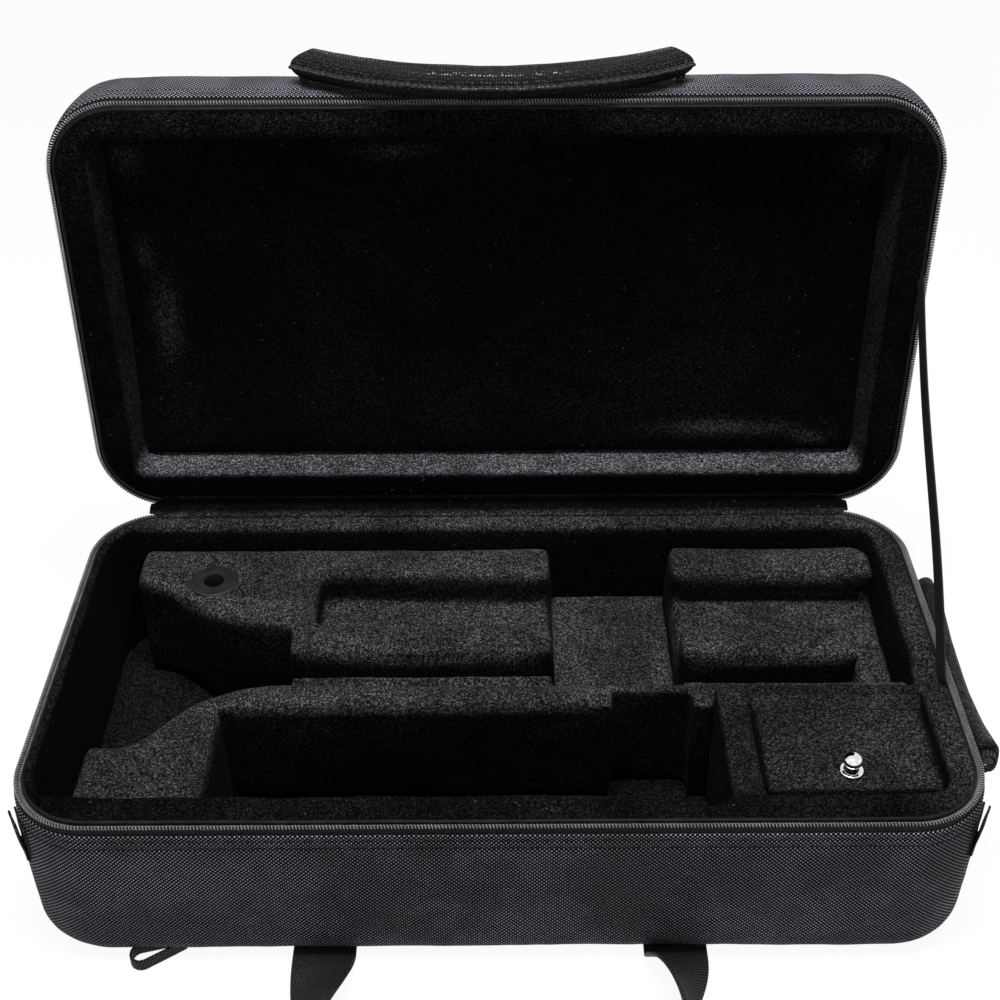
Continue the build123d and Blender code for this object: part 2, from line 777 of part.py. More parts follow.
def zip_pull(side):
    """Pull tab that hangs from its slider by an eye."""
    along_x = Rot(0, 90, 0)
    eye_width = pull_width / 2
    tab_length = pull_length - 2 * pull_eye_radius
    tab = Box(pull_width, pull_thickness, tab_length)
    tab = fillet(tab.edges().filter_by(Axis.Y), 0.45 * pull_width)
    tab = Pos(0, 0, -pull_length + tab_length / 2) * tab
    neck = Pos(0, 0, -1.5 * pull_eye_radius) * Box(eye_width, pull_thickness, 3 * pull_eye_radius)
    hook = along_x * Cylinder(pull_eye_radius, eye_width) + neck + tab
    hook -= along_x * Cylinder(pull_pin_radius + pull_pin_clearance, 2 * pull_width)
    hole = Rot(90, 0, 0) * Cylinder(0.2 * pull_width, pull_width)
    hook -= Pos(0, 0, -0.82 * pull_length) * hole
    return Pos(side * slider_x, pull_pin_y, pull_pin_z) * hook


# ---------------------------------------------------------------- the whole case
def base_parts():
    tape_low = rim - skin_below_rim - tape_hidden
    return {
        "base_bottom_skin": base_skin(0, bottom_panel_height),
        "base_side_skin": base_skin(bottom_panel_height, rim - skin_below_rim),
        "base_board": board(board_bottom, base_edge),
        "base_foam": base_foam(),
        "front_padding": padding("front"),
        "back_padding": padding("back"),
        "right_padding": padding("right"),
        "floor_pad": floor_pad(),
        "base_rim_lining": rim_lining(),
        "base_zip_tape": zip_tape(tape_low, rim - coil_height - fit_gap / 2),
        "base_zip_coil": zip_coil(rim - coil_height),
        "base_piping": piping(rim - piping_diameter / 2),
        "rear_left_block": rear_left_block(),
        "rear_right_block": rear_right_block(),
        "front_ridge_block": front_ridge_block(),
        "trench_floor_block": trench_floor_block(),
        "mouthpiece_grommet": mouthpiece_grommet(),
        "accessory_box": accessory_box(),
        "accessory_hinge_tape": accessory_hinge_tape(),
        "accessory_lid": accessory_lid(),
        "knob_flange": knob_flange(),
        "accessory_knob": accessory_knob(),
        "knob_screw": knob_screw(),
        "corner_tab_left": corner_tab(-1),
        "corner_tab_right": corner_tab(1),
        "carry_strap": carry_strap(),
        "hang_loop": hang_loop(),
        "zip_slider_left": zip_slider(-1),
        "zip_slider_right": zip_slider(1),
        "zip_pull_left": zip_pull(-1),
        "zip_pull_right": zip_pull(1),
        "lid_stay": lid_stay(),
        "hinge_gusset": hinge_gusset(),
    }


def lid_parts():
    """Pieces of the lid, swung from their closed place to the open one."""
    coil_low = lid_plane
    tape_high = lid_plane + skin_below_rim + tape_hidden
    closed = {
        "lid_skin": lid_skin(),
        "lid_board": board(lid_top - board_bottom - board_thickness, lid_edge),
        "lid_foam": lid_foam(),
        "lid_rim_lining": lid_lining(),
        "lid_panel": lid_panel(),
        "lid_zip_tape": zip_tape(lid_plane + coil_height + fit_gap / 2, tape_high),
        "lid_zip_coil": zip_coil(coil_low),
        "lid_piping": piping(lid_plane + piping_diameter / 2),
    }
    return {name: swing_open(shape) for name, shape in closed.items()}


def handle_parts():
    lid_handle = (grip_half_length, grip_sag)
    end_handle = (end_grip_half_length, end_grip_sag)
    return {
        "carry_handle_grip": to_lid_front(handle_grip(*lid_handle, grip_radius)),
        "carry_handle_seam": to_lid_front(handle_seam(*lid_handle, grip_radius)),
        "carry_handle_core": to_lid_front(handle_core(*lid_handle)),
        "carry_handle_anchor_left": to_lid_front(handle_anchor(-1, grip_half_length, grip_standoff)),
        "carry_handle_anchor_right": to_lid_front(handle_anchor(1, grip_half_length, grip_standoff)),
        "end_handle_grip": to_right_wall(handle_grip(*end_handle, end_grip_radius)),
        "end_handle_seam": to_right_wall(handle_seam(*end_handle, end_grip_radius)),
        "end_handle_core": to_right_wall(handle_core(*end_handle)),
        "end_handle_anchor_front": to_right_wall(handle_anchor(-1, end_grip_half_length, end_grip_standoff)),
        "end_handle_anchor_back": to_right_wall(handle_anchor(1, end_grip_half_length, end_grip_standoff)),
    }


os.makedirs("parts", exist_ok=True)
for node, shape in {**base_parts(), **lid_parts(), **handle_parts()}.items():
    export_step(shape, f"parts/{node}.step")
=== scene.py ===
# %% [markdown]
# # A soft trumpet case, standing open
# The case is a foam shell in two halves. Black woven nylon covers the outside and black plush lines the inside.
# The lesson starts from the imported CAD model, which fixes where everything is. Each soft solid of that model is
# then replaced by a piece with the folds, threads and seams of the real one, and the hard parts get finishes.

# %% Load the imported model
import math

import bmesh
import bpy
import numpy as np
from mathutils import Matrix, Vector, noise


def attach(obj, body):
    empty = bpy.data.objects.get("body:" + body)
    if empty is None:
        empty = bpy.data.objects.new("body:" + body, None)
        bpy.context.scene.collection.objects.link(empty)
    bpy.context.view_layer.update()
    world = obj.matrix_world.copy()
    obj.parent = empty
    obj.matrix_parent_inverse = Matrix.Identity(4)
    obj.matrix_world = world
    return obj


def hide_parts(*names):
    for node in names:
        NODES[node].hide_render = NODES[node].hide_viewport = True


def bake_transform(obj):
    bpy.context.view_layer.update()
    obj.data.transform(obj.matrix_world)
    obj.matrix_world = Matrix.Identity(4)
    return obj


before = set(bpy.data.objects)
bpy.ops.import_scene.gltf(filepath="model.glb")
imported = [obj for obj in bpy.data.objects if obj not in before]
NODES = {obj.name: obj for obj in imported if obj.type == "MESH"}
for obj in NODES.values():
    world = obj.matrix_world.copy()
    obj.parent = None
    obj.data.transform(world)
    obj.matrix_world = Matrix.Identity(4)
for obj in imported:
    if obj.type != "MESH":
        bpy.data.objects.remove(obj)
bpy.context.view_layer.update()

print("nodes in the frame:", len(NODES))

# %% [markdown]
# ## Camera
# The camera looks down into the open case from in front, a little under a metre away from it. Its angles come
# from lining up the corners of the case. The order matters: Blender's camera looks along its own -Z, so it is
# tipped up from the floor about X first, rolled about its own axis, and then turned about the world's Z.

# %% Camera
camera_data = bpy.data.cameras.new("camera")
camera_data.lens = 55.58
camera_data.sensor_width = 36.0
camera = bpy.data.objects.new("camera", camera_data)
bpy.context.scene.collection.objects.link(camera)
CAMERA_PITCH, CAMERA_YAW, CAMERA_ROLL = 35.99, 0.09, -0.34
CAMERA_PLACE = (0.00229, -0.6796, 0.70565)
turn = Matrix.Rotation(math.radians(CAMERA_YAW), 4, "Z")
tip = Matrix.Rotation(math.radians(90.0 - CAMERA_PITCH), 4, "X")
roll = Matrix.Rotation(math.radians(CAMERA_ROLL), 4, "Z")
camera.matrix_world = Matrix.Translation(CAMERA_PLACE) @ turn @ tip @ roll
bpy.context.scene.camera = camera
print("lens", round(camera_data.lens, 2), "mm, looking down", CAMERA_PITCH, "degrees")

# %% [markdown]
# ## Sizes that the pieces share
# The soft pieces are made in millimetres, like a pattern, and turned into metres when a mesh is made. The sizes
# are those of the CAD model: the outline of the case, the height of its rim, and the place of the cloth hinge.

# %% Sizes in millimetres
WIDTH, DEPTH, PLAN_CORNER = 520.0, 275.0, 45.0
RIM = 104.4
LID_PLANE = RIM + 0.8
LID_TOP = LID_PLANE + 48.0
HINGE_Y, HINGE_Z, OPEN_ANGLE = 139.5, 102.5, 92.0
FLOOR = 13.0
HEM_DROP = 7.0
CAVITY_EDGE = 10.1
LINING_INSET = 6.0
RIM_SINK = 0.75  # how far the plush of both rims lies under the plane where the halves meet
STRAIGHT_X = WIDTH / 2 - PLAN_CORNER
STRAIGHT_Y = DEPTH / 2 - PLAN_CORNER
PERIMETER = 4 * (STRAIGHT_X + STRAIGHT_Y) + 2 * math.pi * PLAN_CORNER
ZIP_START = 205.0
print("the edge of the case is", round(PERIMETER), "mm round")

# %% [markdown]
# ## The outline of the case
# Nearly every soft piece follows the same rounded rectangle. One function walks along it and gives, for any
# distance from the middle of the back, the point and the direction that points out of the case. A piece that
# lies further in is the same walk moved along that direction.

# %% Walk along the outline
def outline_at(distances):
    """Points and outward directions at distances along the case's outline, clockwise from the back's middle."""
    places, outward = [], []
    quarter = math.pi / 2 * PLAN_CORNER
    runs = [
        ("line", STRAIGHT_X, (0, DEPTH / 2), (1, 0), (0, 1)),
        ("turn", quarter, (STRAIGHT_X, STRAIGHT_Y), 90),
        ("line", 2 * STRAIGHT_Y, (WIDTH / 2, STRAIGHT_Y), (0, -1), (1, 0)),
        ("turn", quarter, (STRAIGHT_X, -STRAIGHT_Y), 0),
        ("line", 2 * STRAIGHT_X, (STRAIGHT_X, -DEPTH / 2), (-1, 0), (0, -1)),
        ("turn", quarter, (-STRAIGHT_X, -STRAIGHT_Y), -90),
        ("line", 2 * STRAIGHT_Y, (-WIDTH / 2, -STRAIGHT_Y), (0, 1), (-1, 0)),
        ("turn", quarter, (-STRAIGHT_X, STRAIGHT_Y), 180),
        ("line", STRAIGHT_X, (-STRAIGHT_X, DEPTH / 2), (1, 0), (0, 1)),
    ]
    for distance in np.mod(distances, PERIMETER):
        for run in runs:
            if distance <= run[1] or run is runs[-1]:
                break
            distance -= run[1]
        if run[0] == "line":
            start, along, out = run[2], run[3], run[4]
            places.append((start[0] + along[0] * distance, start[1] + along[1] * distance))
            outward.append(out)
        else:
            angle = math.radians(run[3]) - distance / PLAN_CORNER
            out = (math.cos(angle), math.sin(angle))
            places.append((run[2][0] + PLAN_CORNER * out[0], run[2][1] + PLAN_CORNER * out[1]))
            outward.append(out)
    return np.array(places), np.array(outward)


def at_height(places, height):
    """Points of a plan at a height, which may change along the loop."""
    return np.hstack([places, np.broadcast_to(height, len(places))[:, None]])


def ring_row(places, outward, inset, height):
    """One loop of points at an inset from the outline and a height; both may change along the loop."""
    inset = np.broadcast_to(inset, len(places))[:, None]
    return at_height(places - outward * inset, height)


def swing(points):
    """Takes points of the closed lid to where they are when the lid is open."""
    lean = math.radians(-OPEN_ANGLE)
    moved = np.array(points, dtype=float)
    y, z = moved[..., 1] - HINGE_Y, moved[..., 2] - HINGE_Z
    moved[..., 1] = HINGE_Y + y * math.cos(lean) - z * math.sin(lean)
    moved[..., 2] = HINGE_Z + y * math.sin(lean) + z * math.cos(lean)
    return moved


LOOP_STEPS = 504
loop_places, loop_outward = outline_at(np.linspace(0, PERIMETER, LOOP_STEPS, endpoint=False))
zip_places, zip_outward = outline_at(np.linspace(ZIP_START, PERIMETER - ZIP_START, 400))
# The spine is the line down the middle of the case that every point of the outline looks to.
SPINE_HALF = (WIDTH - DEPTH) / 2
spine = np.stack([np.clip(loop_places[:, 0], -SPINE_HALF, SPINE_HALF), np.zeros(LOOP_STEPS)], axis=1)
print("outline sampled every", round(PERIMETER / LOOP_STEPS, 2), "mm")

# %% [markdown]
# ## From rows of points to a mesh
# A sewn cover is a sheet that follows a path. So a piece is written as rows of points, and one helper joins
# neighbouring rows with four-sided faces. It also lays the sheet's own length and width in millimetres on the
# UV map, so that a woven cloth keeps its thread size on every piece, whatever the piece's shape.

# %% Helpers that make meshes
MM = 0.001


def unit(vectors):
    """Rows of directions, each with a length of one."""
    return vectors / np.linalg.norm(vectors, axis=1)[:, None]


def run_length(points):
    """Distance along a line of points, from its start to each of them."""
    return np.concatenate([[0], np.cumsum(np.linalg.norm(np.diff(points, axis=0), axis=1))])


def look_up(places, run, rows):
    """Rows that belong to distances along a run, read at other distances."""
    return np.stack([np.interp(places, run, column) for column in rows.T], axis=1)


def link(name, data):
    """Object with a mesh or a lamp, put in the scene."""
    piece = bpy.data.objects.new(name, data)
    bpy.context.scene.collection.objects.link(piece)
    return piece


def smooth_faces(mesh):
    mesh.polygons.foreach_set("use_smooth", [True] * len(mesh.polygons))


def add_object(name, vertices, faces, uv=None):
    """Object from vertices in millimetres, faces and one UV pair for each face corner."""
    mesh = bpy.data.meshes.new(name)
    mesh.from_pydata((np.asarray(vertices) * MM).tolist(), [], faces)
    if uv is not None:
        layer = mesh.uv_layers.new(name="cloth")
        layer.data.foreach_set("uv", np.asarray(uv, dtype=np.float32).ravel())
    smooth_faces(mesh)
    mesh.update()
    return link(name, mesh)


def sheet_mesh(name, rows, closed=True, flip=False):
    """Sheet through rows of points; closed joins each row's end to its start."""
    rows = np.asarray(rows, dtype=float)
    row_count, length = rows.shape[:2]
    around = length if closed else length - 1
    first = rows[0]
    u = np.concatenate([[0], np.cumsum(np.linalg.norm(np.roll(first, -1, axis=0) - first, axis=1))])
    v = np.concatenate([[0], np.cumsum(np.linalg.norm(np.diff(rows, axis=0), axis=2).max(axis=1))])
    j, i = (index.ravel() for index in np.meshgrid(np.arange(row_count - 1), np.arange(around), indexing="ij"))
    after = (i + 1) % length
    here, below = j * length, (j + 1) * length
    corners = np.stack([here + i, here + after, below + after, below + i], axis=1)
    uv = np.stack([np.stack([u[a], v[b]], axis=1) for a, b in ((i, j), (i + 1, j), (i + 1, j + 1), (i, j + 1))], axis=1)
    if flip:
        corners, uv = corners[:, ::-1], uv[:, ::-1]
    return add_object(name, rows.reshape(-1, 3), corners.tolist(), uv)


def bake_modifiers(piece):
    """Applies every modifier of a piece to its mesh."""
    graph = bpy.context.evaluated_depsgraph_get()
    mesh = bpy.data.meshes.new_from_object(piece.evaluated_get(graph))
    piece.modifiers.clear()
    old = piece.data
    piece.data = mesh
    bpy.data.meshes.remove(old)
    return piece


def thicken(piece, thickness):
    """Gives a sheet its cloth thickness, on its inner side."""
    solid = piece.modifiers.new("thickness", "SOLIDIFY")
    solid.thickness = thickness * MM
    solid.offset = -1.0
    solid.use_rim = True
    return bake_modifiers(piece)


def weld(piece, distance):
    """Modifier that joins points nearer than a distance in metres."""
    piece.modifiers.new("weld", "WELD").merge_threshold = distance


def join_pieces(name, pieces):
    """Joins several meshes into one piece."""
    bpy.ops.object.select_all(action="DESELECT")
    for piece in pieces:
        piece.select_set(True)
    bpy.context.view_layer.objects.active = pieces[0]
    bpy.ops.object.join()
    pieces[0].name = name
    pieces[0].data.name = name
    return pieces[0]


def lump_values(points, size, seed):
    """Smooth noise between -1 and 1 at points in millimetres; size is the width of a lump."""
    shift = Vector((seed * 17.3, seed * 5.1, seed * 9.7))
    return np.array([noise.noise(Vector(point) / size + shift) for point in points])


def read_points(mesh, what="co"):
    """Places, or normals, of a mesh's vertices."""
    points = np.empty(len(mesh.vertices) * 3)
    mesh.vertices.foreach_get(what, points)
    return points.reshape(-1, 3)


def ruffle(piece, layers, weight=1.0):
    """Moves vertices along their normals by layers of (height, lump size, seed), all in millimetres."""
    mesh = piece.data
    points = read_points(mesh) * 1000
    move = np.zeros(len(points))
    for height, size, seed in layers:
        move += height * lump_values(points, size, seed)
    points += read_points(mesh, "normal") * (move * weight)[:, None]
    mesh.vertices.foreach_set("co", (points * MM).ravel())
    mesh.update()
    return piece


def settle(piece, body, slot, *nodes):
    """Puts a piece on the body it rides on and hides the CAD nodes it stands for; the material slot is not used."""
    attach(piece, body)
    if nodes:
        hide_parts(*nodes)
    return piece


def smooth_step(values, low, high):
    """0 below low, 1 above high, and a soft S between them."""
    share = np.clip((values - low) / (high - low), 0, 1)
    return share * share * (3 - 2 * share)

# %% [markdown]
# ## Building blocks for the finishes
# Several finishes share an effect: threads that cross, the pile of plush with its lint, the pebbles of imitation
# leather, and handling wear. Each effect is made once, as a node group with named inputs, and placed where it is
# needed. A group only puts out numbers that vary over the surface. The shader itself stays in each material,
# where an exporter and a reader both look for it.

# %% Helpers for node trees
def new_group(name, inputs, outputs):
    """Empty node group with float or vector inputs and float outputs."""
    group = bpy.data.node_groups.new(name, "ShaderNodeTree")
    for label, kind, value in inputs:
        socket = group.interface.new_socket(label, in_out="INPUT", socket_type=kind)
        if value is not None:
            socket.default_value = value
    for label in outputs:
        group.interface.new_socket(label, in_out="OUTPUT", socket_type="NodeSocketFloat")
    return group, group.nodes.new("NodeGroupInput"), group.nodes.new("NodeGroupOutput")


def feed(tree, socket, value):
    """Sets a socket to a number or a colour, or links another node's output to it."""
    if isinstance(value, tuple):
        socket.default_value = (*value, 1)
    elif isinstance(value, (int, float)):
        socket.default_value = value
    else:
        tree.links.new(value, socket)


def set_inputs(node, **values):
    """Sets a node's inputs by name, with an underscore for each space."""
    for label, value in values.items():
        node.inputs[label.replace("_", " ")].default_value = value


def math_node(tree, operation, first, second=None):
    """Math node whose inputs are numbers or other nodes' outputs."""
    node = tree.nodes.new("ShaderNodeMath")
    node.operation = operation
    feed(tree, node.inputs[0], first)
    if second is not None:
        feed(tree, node.inputs[1], second)
    return node.outputs[0]


def noise_node(tree, vector, scale, detail=2.0, roughness=0.5, distortion=0.0):
    """Noise texture output; scale may be a number or a socket."""
    node = tree.nodes.new("ShaderNodeTexNoise")
    set_inputs(node, Detail=detail, Roughness=roughness, Distortion=distortion)
    feed(tree, node.inputs["Vector"], vector)
    feed(tree, node.inputs["Scale"], scale)
    return node.outputs[0]


def spread_node(tree, value, low, high, out_low=0.0, out_high=1.0):
    """Map Range from one span of numbers to another, smoothed and clamped."""
    node = tree.nodes.new("ShaderNodeMapRange")
    node.interpolation_type = "SMOOTHSTEP"
    set_inputs(node, From_Min=low, From_Max=high, To_Min=out_low, To_Max=out_high)
    tree.links.new(value, node.inputs["Value"])
    return node.outputs["Result"]


VECTOR, FLOAT = "NodeSocketVector", "NodeSocketFloat"
WHITE = (1, 1, 1, 1)

# %% Thread group: round threads that pass over and under each other
THREADS_ALONG = 0.98  # the threads lie a little further apart along the cloth than across it
threads, threads_in, threads_out = new_group(
    "crossed threads",
    [("Cloth", VECTOR, None), ("Pitch", FLOAT, 2.7), ("Slant", FLOAT, 0.0)],
    ["Height", "Crown"],
)
split = threads.nodes.new("ShaderNodeSeparateXYZ")
threads.links.new(threads_in.outputs["Cloth"], split.inputs[0])
across = math_node(threads, "DIVIDE", split.outputs["X"], threads_in.outputs["Pitch"])
along = math_node(threads, "DIVIDE", split.outputs["Y"], threads_in.outputs["Pitch"])
along = math_node(threads, "MULTIPLY", along, THREADS_ALONG)
lean = math_node(threads, "MULTIPLY", along, threads_in.outputs["Slant"])
across = math_node(threads, "ADD", across, lean)
up_slope = math_node(threads, "ADD", across, along)
down_slope = math_node(threads, "SUBTRACT", across, along)
wave_one = math_node(threads, "COSINE", math_node(threads, "MULTIPLY", up_slope, math.pi))
wave_two = math_node(threads, "COSINE", math_node(threads, "MULTIPLY", down_slope, math.pi))
wave_one, wave_two = math_node(threads, "ABSOLUTE", wave_one), math_node(threads, "ABSOLUTE", wave_two)
crown = math_node(threads, "MULTIPLY", wave_one, wave_two)
threads.links.new(math_node(threads, "POWER", crown, 0.6), threads_out.inputs["Height"])
threads.links.new(spread_node(threads, crown, 0.45, 1.0), threads_out.inputs["Crown"])

# %% Pile group: the speckle of upright fibres and the patches where they lie over
pile, pile_in, pile_out = new_group(
    "plush pile",
    [("Place", VECTOR, None), ("Fibre Scale", FLOAT, 1400.0), ("Brush Scale", FLOAT, 16.0)],
    ["Fibre", "Brushed", "Lint"],
)
place = pile_in.outputs["Place"]
fine = noise_node(pile, place, pile_in.outputs["Fibre Scale"], 2.0, 0.7)
coarse = noise_node(pile, place, 420.0, 2.0, 0.6)
fibre = math_node(pile, "ADD", math_node(pile, "MULTIPLY", fine, 0.72), math_node(pile, "MULTIPLY", coarse, 0.28))
fibre = spread_node(pile, fibre, 0.40, 0.68)
tufts = pile.nodes.new("ShaderNodeTexVoronoi")
pile.links.new(place, tufts.inputs["Vector"])
pile.links.new(pile_in.outputs["Fibre Scale"], tufts.inputs["Scale"])
tuft = pile.nodes.new("ShaderNodeSeparateXYZ")
pile.links.new(tufts.outputs["Color"], tuft.inputs[0])
glint = math_node(pile, "POWER", tuft.outputs["X"], 4.0)
fibre = math_node(pile, "ADD", math_node(pile, "MULTIPLY", fibre, 0.24), math_node(pile, "MULTIPLY", glint, 1.1))
pile.links.new(fibre, pile_out.inputs["Fibre"])
brushed = noise_node(pile, place, pile_in.outputs["Brush Scale"], 3.0, 0.55, 0.8)
pile.links.new(spread_node(pile, brushed, 0.34, 0.66), pile_out.inputs["Brushed"])
specks = pile.nodes.new("ShaderNodeTexVoronoi")
specks.inputs["Scale"].default_value = 95.0
pile.links.new(place, specks.inputs["Vector"])
pile.links.new(spread_node(pile, specks.outputs["Distance"], 0.05, 0.075, 1.0, 0.0), pile_out.inputs["Lint"])

# %% Pebble group: the pressed grain of imitation leather
pebbles, pebbles_in, pebbles_out = new_group(
    "pebbled grain", [("Place", VECTOR, None), ("Pebble Scale", FLOAT, 600.0)], ["Height", "Crease"]
)
cells = pebbles.nodes.new("ShaderNodeTexVoronoi")
cells.feature = "SMOOTH_F1"
set_inputs(cells, Smoothness=0.25, Randomness=0.45)
pebbles.links.new(pebbles_in.outputs["Place"], cells.inputs["Vector"])
pebbles.links.new(pebbles_in.outputs["Pebble Scale"], cells.inputs["Scale"])
pebbles.links.new(spread_node(pebbles, cells.outputs["Distance"], 0.1, 0.6, 1.0, 0.0), pebbles_out.inputs["Height"])
pebbles.links.new(spread_node(pebbles, cells.outputs["Distance"], 0.45, 0.75), pebbles_out.inputs["Crease"])

# %% Wear group: dust and rubbed places in large soft patches
wear, wear_in, wear_out = new_group(
    "handling wear", [("Place", VECTOR, None), ("Patch Scale", FLOAT, 30.0)], ["Patches", "Scuffs"]
)
patches = noise_node(wear, wear_in.outputs["Place"], wear_in.outputs["Patch Scale"], 4.0, 0.6)
wear.links.new(spread_node(wear, patches, 0.35, 0.7), wear_out.inputs["Patches"])
scuffs = noise_node(wear, wear_in.outputs["Place"], 260.0, 3.0, 0.65, 0.4)
wear.links.new(spread_node(wear, scuffs, 0.62, 0.74), wear_out.inputs["Scuffs"])
print("effects ready:", [group.name for group in bpy.data.node_groups])

# %% Helpers that build a material
def start_material(name, roughness, specular, sheen=0.0, sheen_roughness=0.4, sheen_tint=(1, 1, 1), metallic=0.0):
    """Material with a Principled shader; values that don't vary sit on the shader itself."""
    material = bpy.data.materials.new(name)
    material.use_nodes = True
    tree = material.node_tree
    shader = tree.nodes["Principled BSDF"]
    set_inputs(shader, Roughness=roughness, Specular_IOR_Level=specular, Metallic=metallic, Sheen_Weight=sheen,
               Sheen_Roughness=sheen_roughness, Sheen_Tint=(*sheen_tint, 1))
    return material, tree, shader


def place_group(tree, group, socket, vector, **values):
    """Puts a node group in a material, fed by a texture coordinate."""
    node = tree.nodes.new("ShaderNodeGroup")
    node.node_tree = group
    tree.links.new(vector, node.inputs[socket])
    set_inputs(node, **values)
    return node


def mix_colours(tree, factor, first, second):
    """Mixes two colours; each may be a tuple or an output."""
    node = tree.nodes.new("ShaderNodeMix")
    node.data_type = "RGBA"
    for label, kind, value in (("Factor", "VALUE", factor), ("A", "RGBA", first), ("B", "RGBA", second)):
        feed(tree, [socket for socket in node.inputs if socket.name == label and socket.type == kind][0], value)
    return [socket for socket in node.outputs if socket.type == "RGBA"][0]


def add_bump(tree, shader, height, strength, distance):
    """Bump from a height that varies over the surface; distance in metres."""
    node = tree.nodes.new("ShaderNodeBump")
    set_inputs(node, Strength=strength, Distance=distance)
    tree.links.new(height, node.inputs["Height"])
    tree.links.new(node.outputs["Normal"], shader.inputs["Normal"])

# %% [markdown]
# ## Plush
# Plush is a knitted cloth with a short upright pile. Its fibre tips catch light and the gaps between them swallow
# it, so it is a speckle of grey on black. The fibres are too fine to model, so one random brightness for each tuft
# stands for them. How light the cloth looks is painted into its colour. Walls get painted shade and level tops a
# painted sheen, from the direction that the surface faces on the piece itself, and a value stored on each point
# paints more light and shade on each piece, as the light falls on it.

# %% Plush materials
def plush_material(name, dark, light, sheen, painted_wall_light, brush_scale=16.0):
    """Plush with painted shade on its walls; the argument after the sheen is how light a wall looks, as a share of the
    painted sheen on a level top.
    """
    material, tree, shader = start_material(name, 1.0, 0.0, sheen, 0.5, (0.80, 0.84, 0.90))
    coordinates = tree.nodes.new("ShaderNodeTexCoord")
    pile_node = place_group(tree, pile, "Place", coordinates.outputs["Object"], Brush_Scale=brush_scale)
    brushed = spread_node(tree, pile_node.outputs["Brushed"], 0.0, 1.0, 0.55, 1.0)
    facing = tree.nodes.new("ShaderNodeSeparateXYZ")
    tree.links.new(coordinates.outputs["Normal"], facing.inputs[0])
    # Painted light: level tops get the full painted sheen, and walls only a share of it, as painted shade.
    painted_facing_light = spread_node(tree, facing.outputs["Z"], -0.1, 0.95, painted_wall_light, 1.0)
    # The value stored on each point paints light and shade on each piece.
    painted_light = tree.nodes.new("ShaderNodeAttribute")
    painted_light.attribute_name = "painted_light"
    amount = math_node(tree, "MULTIPLY", pile_node.outputs["Fibre"], brushed)
    amount = math_node(tree, "MULTIPLY", amount, painted_facing_light)
    amount = math_node(tree, "MULTIPLY", amount, painted_light.outputs["Fac"])
    colour = mix_colours(tree, amount, dark, light)
    lint = math_node(tree, "MULTIPLY", pile_node.outputs["Lint"], 0.4)
    colour = mix_colours(tree, lint, colour, (0.10, 0.10, 0.105))
    tree.links.new(colour, shader.inputs["Base Color"])
    height = math_node(tree, "ADD", pile_node.outputs["Fibre"], math_node(tree, "MULTIPLY", brushed, 0.4))
    add_bump(tree, shader, height, 0.7, 0.0006)
    return material


def set_painted_light(piece, values=0.6):
    """Stores painted light and shade on each point of a plush piece: 0 paints it dark and 1 paints it light."""
    count = len(piece.data.vertices)
    layer = piece.data.attributes.get("painted_light") or piece.data.attributes.new("painted_light", "FLOAT", "POINT")
    layer.data.foreach_set("value", np.broadcast_to(values, count).astype(np.float32))
    return piece


PLUSH = plush_material("black plush", (0.0010, 0.0010, 0.0012), (0.26, 0.265, 0.285), 0.01, 0.17)
# The second plush is the same cloth painted darker, as shade, for the lid's panel and the deep floor.
PLUSH_IN_PAINTED_SHADE = plush_material("plush in painted shade", (0.0007, 0.0007, 0.0008), (0.05, 0.051, 0.054), 0.02, 0.35, 9.0)
print("plush ready")

# %% [markdown]
# ## Woven nylon, webbing and tape
# The outside is a heavy nylon with a coarse weave. Every thread crown carries a small hard glint, painted on as a
# lighter colour, and the crowns also get a lower roughness than the gaps between them. The webbing of the straps and
# the zip's tape are the same idea with finer, slanted threads.

# %% Woven materials
def woven_material(name, dark, light, pitch, slant, rough_gap, rough_crown, bump, specular):
    """Cloth of crossed threads; pitch is from thread to thread in millimetres and bump in metres."""
    material, tree, shader = start_material(name, rough_gap, specular)
    coordinates = tree.nodes.new("ShaderNodeTexCoord")
    cloth = place_group(tree, threads, "Cloth", coordinates.outputs["UV"], Pitch=pitch, Slant=slant)
    rubbed = place_group(tree, wear, "Place", coordinates.outputs["Object"], Patch_Scale=22.0)
    patch = spread_node(tree, rubbed.outputs["Patches"], 0.0, 1.0, 0.6, 1.0)
    crown = math_node(tree, "MULTIPLY", cloth.outputs["Crown"], patch)
    # The crowns' lighter colour is a painted highlight.
    colour = mix_colours(tree, crown, dark, light)
    dust = math_node(tree, "MULTIPLY", rubbed.outputs["Scuffs"], 0.04)
    colour = mix_colours(tree, dust, colour, (0.09, 0.09, 0.092))
    tree.links.new(colour, shader.inputs["Base Color"])
    rough = spread_node(tree, crown, 0.0, 1.0, rough_gap, rough_crown)
    tree.links.new(rough, shader.inputs["Roughness"])
    add_bump(tree, shader, cloth.outputs["Height"], 0.85, bump)
    return material


GAP = (0.0015, 0.0015, 0.0016)
NYLON = woven_material("woven nylon", (0.0010, 0.0010, 0.0011), (0.44, 0.455, 0.52), 2.5, 0.0, 0.7, 0.45, 0.0003, 0.05)
WEBBING = woven_material("webbing", GAP, (0.10, 0.103, 0.115), 2.0, 0.6, 0.6, 0.3, 0.0003, 0.15)
ZIP_TAPE = woven_material("zip tape", GAP, (0.05, 0.05, 0.053), 1.3, 0.3, 0.7, 0.5, 0.00015, 0.15)
print("woven finishes ready")

# %% [markdown]
# ## Imitation leather, plastic, thread and rubber
# The handles are wrapped in pebbled imitation leather, shiny on the pebbles and dull in the creases. The coil of
# the zip is glossy plastic. Thread, piping and the rubber ring each get a small finish of their own.

